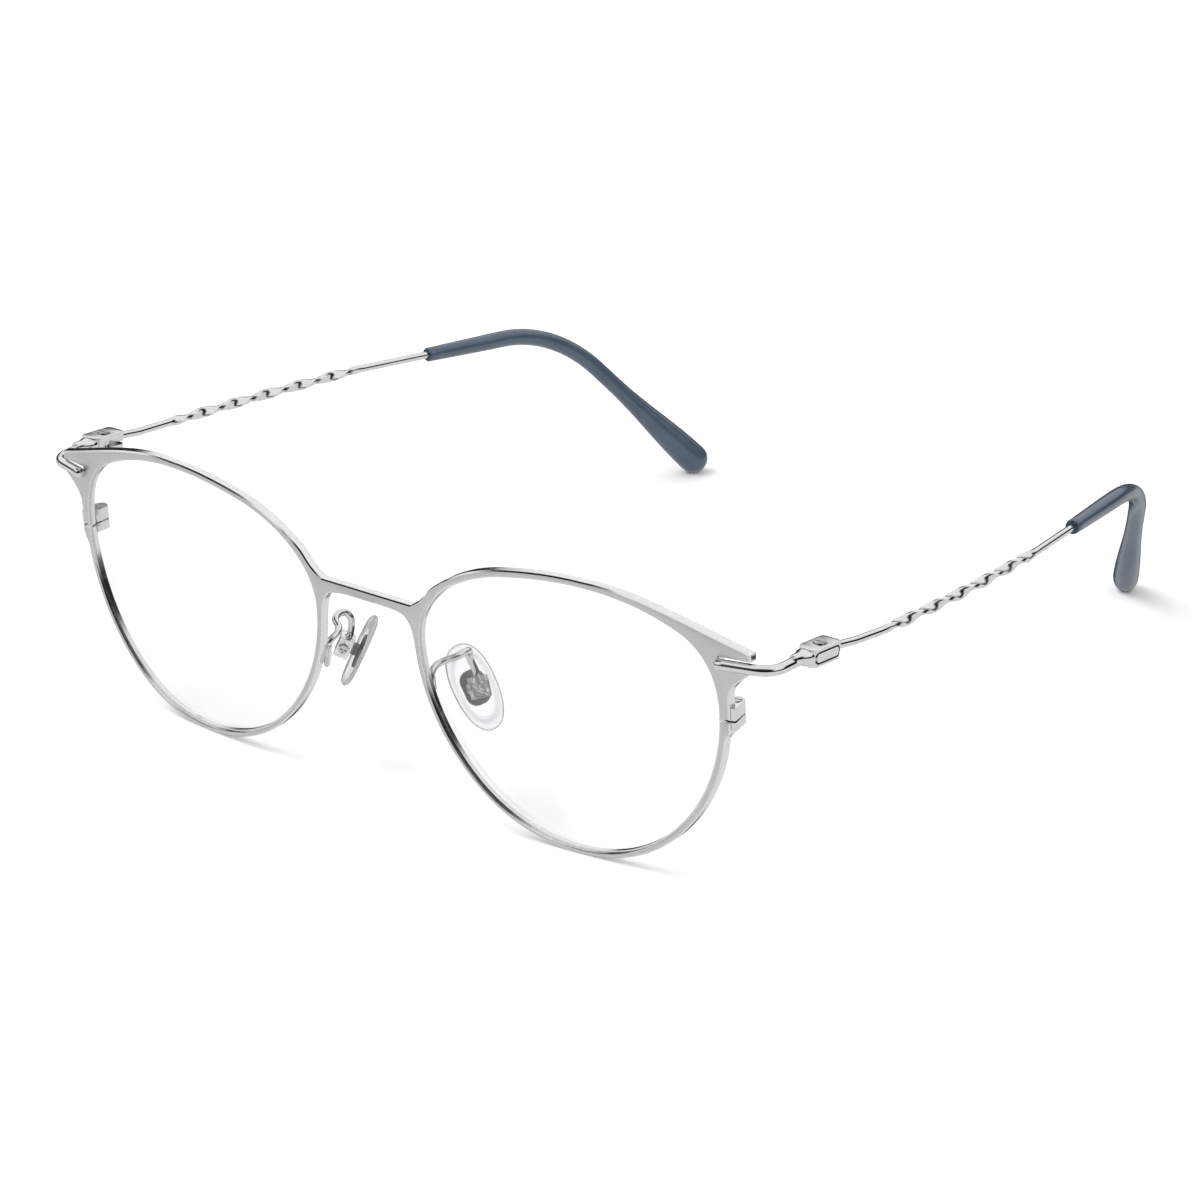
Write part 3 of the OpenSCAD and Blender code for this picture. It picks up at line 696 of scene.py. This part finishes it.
def dress(obj, body, slot_name, *materials):
    """Gives a piece its body and its materials; the record slot is not used."""
    faces = obj.data.polygons
    used = [0] * len(faces)
    faces.foreach_get("material_index", used)
    obj.data.materials.clear()
    for m in materials:
        obj.data.materials.append(m)
    faces.foreach_set("material_index", used)
    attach(obj, body)


# --- Front ----------------------------------------------------------------------------------------
TIP_X = OPEN_X + 5                  # outer end of the flare
CLOSING_X = OPEN_X + 1.5            # outer edge beside the closing blocks
CLOSING_Z = -6.4                    # middle of the saw cut
BROW_X = 44.5 / 59.8 * OPEN_X       # where the flare's upper edge meets the rim
BROW_END = (36.86, 10.688, 180)
SLOT_LOW, SLOT_HIGH = 2.0, 3.46     # slot in the flare that the end piece wire is soldered into
BACK_CHAMFER = 0.1
EDGE_FACET = 0.12                   # chamfer of the lens edge


def flare_outline():
    """Broad temple end of the front; its upper edge runs into the rim near the lens's crest."""
    shoulder = (BROW_X, 10.3, 171)
    brow = span((TIP_X, 4.65, 163.5), shoulder) + span(shoulder, BROW_END)
    under = span((CLOSING_X, -2.9, 90), (TIP_X, 1.55, 36))
    corner = span((OPEN_X + 0.85, -9.4, 85), (CLOSING_X, -8.1, 90), steps=8)
    inner = [Vector(p) for p in ((BROW_X, 8), (OPEN_X - 1, -6), (OPEN_X, -9.6))]
    return brow + [Vector(BROW_END[:2])] + inner + corner + under + [Vector((TIP_X, 1.55))]


def bridge_outline():
    """The straight bridge and its roots, which lie on the rims."""
    rim_x = BRIDGE_W / 2 - 0.65
    under = BRIDGE_H + 0.3
    notch = (BRIDGE_W / 2 - 1, 0, 31)
    above = (BRIDGE_W / 2 + 2, 2.6, 54)
    half = span((rim_x, -6.6, 97), (6.3, -under, 168)) + span((6.3, -under, 168), (0, -BRIDGE_H, 180))
    shoulder = (BRIDGE_W / 2 + 7.4, 6.65, 34)
    root = [Vector(p) for p in ((rim_x + 5.2, 4), (rim_x + 2.9, 1.6), (rim_x + 1.3, -1.6),
                                (rim_x + 0.6, -4), (rim_x + 0.5, -6.6))]
    right = span(notch, above, steps=12) + span(above, shoulder, steps=12)
    right += [Vector(shoulder[:2])] + root + half
    mirrored = [Vector((-p.x, p.y)) for p in right]
    return right + [Vector((0, -BRIDGE_H))] + mirrored[::-1]


def box_outline(x0, x1, z0, z1):
    return [Vector(p) for p in ((x0, z0), (x1, z0), (x1, z1), (x0, z1))]


def mirrored_loop(loop):
    return [Vector((-p.x, p.y)) for p in loop][::-1]


def build_front():
    """The flat-cut front: outline merged from rims, flares and bridge, chamfered and grooved."""
    hole = opening(0)
    halves = [opening(0, RIM_W), flare_outline()]
    cuts = [hole, box_outline(OPEN_X + 0.2, TIP_X + 2, SLOT_LOW, SLOT_HIGH),
            box_outline(OPEN_X - 1.5, OPEN_X + 3, CLOSING_Z - RIM_CUT / 2, CLOSING_Z + RIM_CUT / 2)]
    added = halves + [mirrored_loop(p) for p in halves] + [bridge_outline()]
    loops = merged_outline(added, cuts + [mirrored_loop(p) for p in cuts])
    holes = [hole, mirrored_loop(hole)]
    groove_to = GROOVE_FROM + GROOVE_W
    profiles = []
    for loop in loops:
        rows = []
        for p in loop:
            inner = min(near_outline(p, h) for h in holes) < 0.02
            chamfer = 0.07 if inner else 0.22
            deep = -GROOVE if inner else 0.0
            rows.append([(chamfer, 0.0), (chamfer * 0.76, chamfer * 0.08), (0.0, chamfer * 1.1),
                         (0.0, GROOVE_FROM), (deep, GROOVE_FROM + 0.001), (deep, groove_to - 0.001),
                         (0.0, groove_to), (0.0, FRONT_T - BACK_CHAMFER), (BACK_CHAMFER, FRONT_T)])
        profiles.append(rows)
    verts, faces, slots = bowed_solid(loops, profiles)
    obj = new_object("front_visual", verts, faces, 1, 24, slots)
    dress(obj, "front", "front_metal", FRONT_FACE, FRONT_EDGE)
    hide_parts("front_frame")


def build_lens(side_name, side):
    """Lens with a thin edge tongue that sits in the rim groove."""
    loop = opening(-LENS_PLAY)
    middle = GROOVE_FROM + GROOVE_W / 2
    face, back = middle - LENS_T / 2, middle + LENS_T / 2
    tongue = [GROOVE_FROM + LENS_PLAY, GROOVE_FROM + GROOVE_W - LENS_PLAY]
    tongue_out = -GROOVE + 0.06
    row = [(EDGE_FACET, face), (0.0, face + 0.1), (0.0, tongue[0]), (tongue_out, tongue[0] + 0.04),
           (tongue_out, tongue[1] - 0.04), (0.0, tongue[1]), (0.0, back - 0.1), (EDGE_FACET, back)]
    verts, faces, _ = bowed_solid([loop], [[row] * len(loop)])
    obj = new_object(side_name + "_lens_visual", verts, faces, side, 24)
    dress(obj, "front", "lens", LENS_GLASS)
    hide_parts(side_name + "_lens")


# --- End piece and hinge --------------------------------------------------------------------------
def circle(r):
    """Outline round the hinge pin."""
    return [Vector((r * math.cos(math.pi * k / 16), r * math.sin(math.pi * k / 16))) for k in range(32)]


def stadium(w, h, r):
    """Rectangle with round corners."""
    out = []
    for cx, cy, a0 in ((1, 1, 0), (-1, 1, 90), (-1, -1, 180), (1, -1, 270)):
        for k in range(9):
            a = math.radians(a0 + 90 * k / 8)
            out.append(Vector((cx * (w / 2 - r) + r * math.cos(a), cy * (h / 2 - r) + r * math.sin(a))))
    return out


def hinge_piece(name, side, outline, low, high):
    verts, faces = prism(outline, low, high)
    return Solid().add(verts, faces).build(name, side, on_hinge)


# Collar between the wire and the block: place along the block, lift, width, height, fullness
COLLAR = [(-6.4, 0.33, 1.45, 1.45, 2), (-6.0, 0.3, 1.62, 1.62, 2), (-5.4, 0.26, 1.74, 1.7, 2),
          (-4.9, 0.2, 1.96, 1.82, 2.1), (-4.5, 0.14, 2.26, 1.98, 2.2), (-4.1, 0.08, 2.62, 2.16, 2.4),
          (-3.75, 0.04, 2.9, 2.3, 2.6), (-3.4, 0.0, 3.04, 2.38, 2.8), (-2.9, 0.0, 3.04, 2.36, 3),
          (-2.6, 0.0, 2.6, 2.1, 3)]
WIRE_BEND_R = 3.6
RING_L, RING_W, RING_DEEP = 5.7, 1.85, 0.2
RING_Y = -0.35                      # middle of the ring groove along the block
PLAQUE_L, PLAQUE_W = 5.14, 1.29     # raised field inside the ring groove


def build_end_wire(side_name, side):
    """Wire that leaves the front, with the collar that thickens into the hinge block."""
    start = Vector((OPEN_X + 0.3, FRONT_Y + 4.36, BRIDGE_Z + 3.06))
    turn = Vector((PIN.x - 0.23, FRONT_Y + 7.05, PIN.z + 0.28))
    end = Vector((PIN.x, PIN.y - BLOCK_FRONT - 1, PIN.z + 0.32))
    path = fill_in(bent_path([start, turn, end], [WIRE_BEND_R], 5), 1.0)
    wire = Solid().skin(domed(bar_rings(path, ARM_WIRE_D, (0, 0, 1), 32), ARM_WIRE_D / 2))
    wire.skin([ring(on_hinge((0, y, lift)), Vector((0, 1, 0)), Vector((0, 0, 1)), h, w, 32, 0.0, full)
               for y, lift, w, h, full in COLLAR])
    obj = wire.build(side_name + "_end_wire", side)
    dress(obj, "front", "wire_metal", CHROME)
    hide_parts(side_name + "_end_piece")


def on_block_side(verts, depth):
    """Moves an upright prism onto the outer face of the hinge block, sunk by a depth."""
    return [Vector((BLOCK_W / 2 - depth + v.z, v.x + RING_Y, v.y)) for v in verts]


def build_hinge_block(side_name, side):
    """Block with a slot for the temple's eye, a seat for the screw and a ring groove outside, the groove
    painted near-black as shade.
    """
    side_x = BLOCK_W / 2
    outline = []
    for x, y, r, a in ((side_x, BLOCK_REAR, 0.8, 0), (-side_x, BLOCK_REAR, 0.8, 90),
                       (-side_x, -BLOCK_FRONT, 1.6, 180), (side_x, -BLOCK_FRONT, 1.0, 270)):
        middle = Vector((x - math.copysign(r, x), y - math.copysign(r, y)))
        outline += [middle + r * along(a + turn) for turn in range(0, 91, 10)]
    block = hinge_piece(side_name + "_hinge_block", side, outline, -BLOCK_H / 2, BLOCK_H / 2)
    soften(block, 0.36, 5, 60)
    slot_h = EYE_T + 0.1
    wall = side_x - OUTER_WALL
    slot = hinge_piece("cut_slot", side, box_outline(-BLOCK_W, wall, -1.55, BLOCK_REAR + 1),
                       -slot_h / 2, slot_h / 2)
    seat = hinge_piece("cut_seat", side, circle(HEAD_D / 2 + 0.13), BLOCK_H / 2 - HEAD_SEAT, 3)
    bore = hinge_piece("cut_bore", side, circle(SHANK_D / 2 + 0.02), -3, 3)
    verts, faces = prism(stadium(RING_L, RING_W, 0.75), 0, 1)
    # The groove's walls and floor take slot 1, the painted groove shade.
    groove = Solid().add(on_block_side(verts, RING_DEEP), faces, 1).build("cut_groove", side, on_hinge)
    verts, faces = prism(stadium(PLAQUE_L, PLAQUE_W, 0.5), 0, RING_DEEP + 0.03)
    plaque = Solid().add(on_block_side(verts, RING_DEEP + 0.02), faces).build("plaque", side, on_hinge)
    for piece in (block, groove):
        piece.data.materials.append(BLOCK_METAL)
        piece.data.materials.append(GROOVE_SHADE)
    carve(block, [slot, seat, bore, groove])
    join(block, plaque)
    soften(block, 0.04, 2, 40)
    # Second material: painted shade in the ring groove.
    dress(block, "front", "wire_metal", BLOCK_METAL, GROOVE_SHADE)
    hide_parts(side_name + "_end_piece")


# --- Temples --------------------------------------------------------------------------------------
EAR = Vector((-9.7, 99.7, 0.1))
TWIST_START = Vector((0.5, 15, -0.5))
TWIST_MID = Vector((-0.4, 36.5, -0.3))
TWIST_END = Vector((-2.35, 58, 0))
TIP_Y = EAR.y + 21.9
TIP_REACH = PADDLE_W / 2 - 0.03
TIP_END = Vector((-24.2, TIP_Y, -(PIN.z - TIP_Y * math.sin(TEMPLE_FALL) - TIP_REACH)
                  / math.cos(TEMPLE_FALL)))
SLEEVE_START = TWIST_END + 14.5 * (EAR - TWIST_END).normalized()
CORE_END = TIP_END - 8 * (TIP_END - EAR).normalized()
TEMPLE_SIDE = Vector((0.83, 0.56, 0))
TWIST_STEPS = 24 * HALF_TURNS
TEMPLE_RING, SLEEVE_RING = 36, 40   # points round the wire and round the sleeve
RUN_IN = 0.08                       # share of the twist over which the wire goes from round to flat
MOUTH_ROUND = 0.14                  # how much narrower the sleeve's mouth starts
THICKEN_L, SWELL_L = 14.0, 21.0     # lengths over which the sleeve thickens and its end swells


def build_temple(side_name, side):
    """Round wire, flat twisted length and round wire again, with the eye that turns on the screw."""
    front = fill_in([Vector((0.15, BLOCK_REAR + 0.5, 0)), Vector((0.3, 8, -0.4)),
                     TWIST_START - Vector((0, 0.7, 0))], 1.5)
    twist = []
    for k in range(TWIST_STEPS + 1):
        t = k / TWIST_STEPS
        twist.append((1 - t) * (1 - 2 * t) * TWIST_START + 4 * t * (1 - t) * TWIST_MID
                     + t * (2 * t - 1) * TWIST_END)
    rear = bent_path([TWIST_END + 0.7 * (EAR - TWIST_END).normalized(), EAR, CORE_END], [EAR_BEND_R])
    path = front + twist + rear
    dirs = headings(path)
    rings = []
    for i, (p, d, s) in enumerate(zip(path, dirs, sideways(dirs, (0, 0, 1)))):
        k = i - len(front)
        if 0 <= k <= TWIST_STEPS:
            flat = blended(min(k, TWIST_STEPS - k) / (RUN_IN * TWIST_STEPS))
            rings.append(ring(p, d, s, TEMPLE_D + (TWIST_W - TEMPLE_D) * flat,
                              TEMPLE_D + (TWIST_T - TEMPLE_D) * flat, TEMPLE_RING,
                              math.pi * HALF_TURNS * k / TWIST_STEPS, 2 + 3 * flat))
        else:
            rings.append(ring(p, d, s, TEMPLE_D, TEMPLE_D, TEMPLE_RING))
    solid = Solid().skin(rings)
    end_caps = 2
    for i in range(len(front) * TEMPLE_RING, (len(front) + TWIST_STEPS) * TEMPLE_RING):
        solid.slots[end_caps + i] = 1
    tongue_out = BLOCK_W / 2 - OUTER_WALL - 0.08
    eye = [Vector((tongue_out, BLOCK_REAR + 0.7)), Vector((-0.75, BLOCK_REAR + 0.7))]
    eye += [EYE_R * along(a) for a in range(140, 361, 10)]
    eye += [Vector((tongue_out, 0.3))]
    bore = circle(SHANK_D / 2 + 0.04)[::-1]
    verts, faces = prism(eye, -EYE_T / 2, EYE_T / 2, [bore])
    solid.add(verts, faces)
    obj = solid.build(side_name + "_temple_wire", side, on_hinge, 35)
    dress(obj, side_name + "_temple_body", "wire_metal", CHROME, TWIST_METAL)
    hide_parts(side_name + "_temple")


def build_tip(side_name, side):
    """Slate sleeve with an open mouth that follows the ear bend and swells into a paddle."""
    def oval(p, d, across, high):
        rings.append(ring(p, d, square_to(TEMPLE_SIDE, d), across, high, SLEEVE_RING))

    rings = []
    bore = TEMPLE_D + 0.08
    outward = (SLEEVE_START - EAR).normalized()
    for deep, w in ((6, 0.0), (1.2, 0.0), (0.7, 0.12), (0.3, 0.36), (0.08, 0.62), (0.0, 0.76)):
        oval(SLEEVE_START - deep * outward, outward, bore + w, bore + w)
    neck = fill_in(bent_path([SLEEVE_START, EAR, TIP_END], [EAR_BEND_R], 3), 1.6)
    dirs = headings(neck)
    lengths = [0.0]
    for a, b in zip(neck, neck[1:]):
        lengths.append(lengths[-1] + (b - a).length)
    swell_from = lengths[-1] - SWELL_L
    oval(neck[0], dirs[0], SLEEVE_D - MOUTH_ROUND, SLEEVE_D - MOUTH_ROUND)
    oval(neck[0] + 0.12 * dirs[0], dirs[0], SLEEVE_D, SLEEVE_D)
    for p, d, at in list(zip(neck, dirs, lengths))[1:]:
        w = SLEEVE_D + (SLEEVE_MID_D - SLEEVE_D) * min(1.0, at / THICKEN_L)
        t = max(0.0, (at - swell_from) / SWELL_L)
        s = (1 - math.cos(math.pi * min(1.0, t))) / 2
        oval(p, d, w + (PADDLE_T - w) * s, w + (PADDLE_W - w) * s)
    down = dirs[-1]
    for a in (80, 70, 60, 50, 40, 30, 20, 11, 4):
        t = math.radians(a)
        oval(TIP_END + PADDLE_W / 2 * math.cos(t) * down, down, PADDLE_T * math.sin(t),
             PADDLE_W * math.sin(t))
    obj = Solid().skin(rings).build(side_name + "_tip_sleeve", side, on_hinge, 50)
    dress(obj, side_name + "_temple_body", "tip", TIP_PLASTIC)
    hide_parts(side_name + "_temple_tip")


# --- Nose pads ------------------------------------------------------------------------------------
# Way of the pad arm from its foot, measured from the lens edge at the nose and the bridge's top
ARM_WAY = [(0.62, 3.2, -13.4), (0.5, 3.15, -12.2), (0.3, 3.4, -11.1), (0.15, 4.7, -10.4),
           (0.75, 5.9, -9.95), (2.0, 6.6, -9.35), (2.5, 7.9, -8.95), (2.35, 9.3, -9.15),
           (1.85, 10.0, -10.4)]
FOOT_W, FOOT_L, FOOT_T = 0.9, 3.8, 0.5
FOOT_X, FOOT_Z = BRIDGE_W / 2 + 0.55, -13.4
FOOT_LEAN = math.radians(-10)
SOLDER = 0.04                       # gap between the foot and the rim


def build_pad_arm(side_name, side):
    """Wire from the rim's back to the pad box, with its flattened foot."""
    points = [Vector((BRIDGE_W / 2 + x, FRONT_Y + y, BRIDGE_Z + z)) for x, y, z in ARM_WAY]
    points += [on_pad((0, BOX_Y, BOX_TOP + 0.7)), on_pad((0, BOX_Y, BOX_TOP - SOCKET + 0.02))]
    path = smooth_path(points)
    solid = Solid().skin(domed(bar_rings(path, PAD_WIRE_D, (1, 0, 0), 24), PAD_WIRE_D, [0]))
    turn = (Matrix.Rotation(math.asin(FOOT_X / FRONT_BOW), 3, "Z")
            @ Matrix.Rotation(FOOT_LEAN, 3, "Y"))
    verts, faces = prism(stadium(FOOT_W, FOOT_L, 0.4), 0, FOOT_T)
    placed = []
    for v in verts:
        local = turn @ Vector((v.x, FRONT_T + SOLDER + v.z, v.y - 0.2))
        y, z = local.y + bow(FOOT_X), local.z + FOOT_Z
        c, s = math.cos(FRONT_LEAN), math.sin(FRONT_LEAN)
        placed.append(Vector((FOOT_X + local.x, FRONT_Y + y * c - z * s, BRIDGE_Z + y * s + z * c)))
    solid.add(placed, faces)
    obj = solid.build(side_name + "_pad_wire", side, None, 40)
    dress(obj, "front", "wire_metal", CHROME)
    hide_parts(side_name + "_pad_arm")


def pad_outline(a):
    """Point of the pad's egg outline at an angle, before its lean."""
    c, s = math.cos(a), math.sin(a)
    x, z = (math.copysign(abs(q) ** 0.88, q) for q in (c, s))
    return PAD_W / 2 * x * (1 + 0.05 * s), PAD_L / 2 * z


PAD_RING = 72                       # points round the pad
PAD_EDGE_R, PAD_CROWN = 0.78, 0.14
# Painted shade round the pad's edge, greying the clear silicone: angle up the edge, and share of the
# darker colour
PAD_EDGE_SHADE = [(90, 0.6), (80, 0.55), (70, 0.25), (60, 0.12), (50, 0.12), (40, 0.18), (30, 0.35),
             (20, 0.65), (10, 0.8), (0, 0.8)]


def build_pad(side_name, side):
    """Soft clear pad with a full round edge, slightly crowned on both faces."""
    rows, rim = [], []
    c, s = math.cos(PAD_LEAN), math.sin(PAD_LEAN)
    flat = 1 - PAD_EDGE_R / (PAD_W / 2)
    half = [(flat * k / 6, PAD_EDGE_R + PAD_CROWN * (1 - (k / 6) ** 2), 0.0) for k in range(1, 6)]
    for a, painted_grey in PAD_EDGE_SHADE:
        t = math.radians(a)
        half.append((flat + (1 - flat) * math.cos(t), PAD_EDGE_R * math.sin(t), painted_grey))
    for share, depth, painted_grey in [(q, -d, g) for q, d, g in half[:-1]] + half[::-1]:
        row = []
        rim += [painted_grey] * PAD_RING
        for i in range(PAD_RING):
            x, z = pad_outline(2 * math.pi * i / PAD_RING)
            x, z = x * share, z * share
            row.append(Vector((x * c + z * s, depth, -x * s + z * c)))
        rows.append(row)
    obj = Solid().skin(rows).build(side_name + "_pad_silicone", side, on_pad, 60)
    # The rim attribute carries the painted edge shade to the silicone material.
    values = obj.data.attributes.new("rim", "FLOAT", "POINT")
    values.data.foreach_set("value", rim)
    dress(obj, side_name + "_pad_body", "pad", SILICONE)
    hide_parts(side_name + "_nose_pad")


# --- Assembly -------------------------------------------------------------------------------------
build_front()
for side_name, side in SIDES.items():
    build_lens(side_name, side)
    build_end_wire(side_name, side)
    build_hinge_block(side_name, side)
    build_temple(side_name, side)
    build_tip(side_name, side)
    build_pad_arm(side_name, side)
    build_pad(side_name, side)
    for node, width, slot_name, metal in (
            ("closing_block_upper", 0.12, "wire_metal", BLOCK_METAL),
            ("closing_block_lower", 0.12, "wire_metal", BLOCK_METAL),
            ("closing_screw", 0.05, "screw_metal", SCREW_METAL),
            ("hinge_screw", 0.05, "screw_metal", SCREW_METAL),
            ("pad_screw", 0.05, "screw_metal", SCREW_METAL),
            ("pad_box", 0.3, "wire_metal", BOX_METAL)):
        dress(finished_copy(f"{side_name}_{node}", width), "front", slot_name, metal)
    dress(finished_copy(f"{side_name}_pad_core", 0.05), f"{side_name}_pad_body", "pad_core", CORE_METAL)


# --- Floor, light and camera ----------------------------------------------------------------------
FLOOR_HALF = 4000.0
# The floor's painted reflection darkens between these slopes.
FAR_FLOOR = (-0.14, -0.07)          # slopes of a mirrored ray between which the floor darkens
# Sky seen by mirrored rays, from eye level (0) to overhead (1), and its gain over the plain sky
SKY_STOPS = [(0.0, 0.02), (0.18, 0.02), (0.27, 0.75), (0.36, 1.0), (0.6, 1.0), (0.87, 1.0), (1.0, 0.85)]
SKY_GAIN = 1.3
CAMERA_AZIMUTH, CAMERA_ELEVATION = math.radians(37.96), math.radians(22.3)
CAMERA_FROM_BRIDGE = Vector((437.6, -505.6, 272.73))


def build_floor():
    """Pale matt floor, wide enough to fill any view; metal sees it as a painted reflection, a glow that
    darkens towards the horizon and under the dark card.
    """
    n = Nodes(bpy.data.materials.new("floor"))
    cloud = n.noise([0.004, 0.004, 0.004])
    shader = n.new("ShaderNodeBsdfPrincipled", Metallic=0.0, Roughness=0.75)
    shader.inputs["Specular IOR Level"].default_value = 0.2
    n.link(n.mix_colors(n.remap(cloud, 0, 1), (0.90, 0.90, 0.90), (0.93, 0.93, 0.93)),
           shader.inputs["Base Color"])
    back_along = n.new("ShaderNodeVectorMath", operation="SCALE", Scale=-1.0)
    n.link(n.new("ShaderNodeNewGeometry").outputs["Incoming"], back_along.inputs[0])
    split = n.new("ShaderNodeSeparateXYZ")
    n.link(back_along.outputs[0], split.inputs[0])
    # Painted reflection: mirrored rays see the floor glow in place of the lit floor, dimmer at low slopes
    # and behind the card.
    painted_floor_glow = n.remap(split.outputs["Z"], 0.85, 0.1, *FAR_FLOOR)
    mirrored = n.new("ShaderNodeEmission")
    n.link(n.past_cards(back_along.outputs[0], painted_floor_glow, FLOOR_CARDS), mirrored.inputs["Strength"])
    n.surface(n.mixed(n.reflected(), shader.outputs[0], mirrored.outputs[0]))
    corners = [(x * FLOOR_HALF, y * FLOOR_HALF, 0) for x, y in ((-1, -1), (1, -1), (1, 1), (-1, 1))]
    floor = new_object("floor", corners, [(0, 1, 2, 3)])
    floor.data.materials.append(n.owner)


def build_world():
    """Even pale surroundings; metal sees a bright sky over a dark band at eye level."""
    world = bpy.data.worlds.new("studio")
    bpy.context.scene.world = world
    n = Nodes(world)
    ray = n.new("ShaderNodeTexCoord").outputs["Generated"]
    split = n.new("ShaderNodeSeparateXYZ")
    n.link(ray, split.inputs[0])
    ramp = n.new("ShaderNodeValToRGB")
    elements = ramp.color_ramp.elements
    while len(elements) < len(SKY_STOPS):
        elements.new(0.5)
    for element, (at, value) in zip(elements, SKY_STOPS):
        element.position = at
        element.color = (value, value, value, 1)
    n.link(split.outputs["Z"], ramp.inputs[0])
    mirrored = n.new("ShaderNodeBackground")
    bright = n.math("MULTIPLY", ramp.outputs[0], SKY_GAIN)
    n.link(n.past_cards(ray, bright, SKY_CARDS), mirrored.inputs["Strength"])
    plain = n.new("ShaderNodeBackground", Color=(1, 1, 1, 1), Strength=0.8)
    n.surface(n.mixed(n.reflected(), plain.outputs[0], mirrored.outputs[0]), "ShaderNodeOutputWorld")


def softbox(name, place, size, power):
    """Square area light aimed at the middle of the object; place and size in metres."""
    data = bpy.data.lights.new(name, "AREA")
    data.shape, data.size, data.energy = "SQUARE", size, power
    lamp = bpy.data.objects.new(name, data)
    lamp.location = Vector(place)
    lamp.rotation_euler = (Vector((0, 0, 0.01)) - lamp.location).to_track_quat("-Z", "Y").to_euler()
    lamp.visible_glossy = False
    bpy.context.scene.collection.objects.link(lamp)


def build_camera():
    """Long-lens camera to the front right of the object, looking down at 22 degrees."""
    level = math.cos(CAMERA_ELEVATION)
    back = Vector((math.sin(CAMERA_AZIMUTH) * level, -math.cos(CAMERA_AZIMUTH) * level,
                   math.sin(CAMERA_ELEVATION)))
    right = Vector((math.cos(CAMERA_AZIMUTH), math.sin(CAMERA_AZIMUTH), 0))
    up = back.cross(right)
    place = (Vector((0, FRONT_Y, BRIDGE_Z)) + CAMERA_FROM_BRIDGE) * MM
    data = bpy.data.cameras.new("camera")
    data.lens, data.sensor_width = 150, 36
    data.clip_start, data.clip_end = 0.01, 50
    camera = bpy.data.objects.new("camera", data)
    camera.matrix_world = Matrix.Translation(place) @ Matrix((right, up, back)).transposed().to_4x4()
    bpy.context.scene.collection.objects.link(camera)
    bpy.context.scene.camera = camera


build_floor()
build_world()
softbox("key", (-0.5, -0.3, 0.9), 0.7, 7.0)
softbox("fill", (0.7, -0.6, 0.7), 0.9, 2.5)
build_camera()
bpy.context.scene.view_settings.view_transform = "Standard"
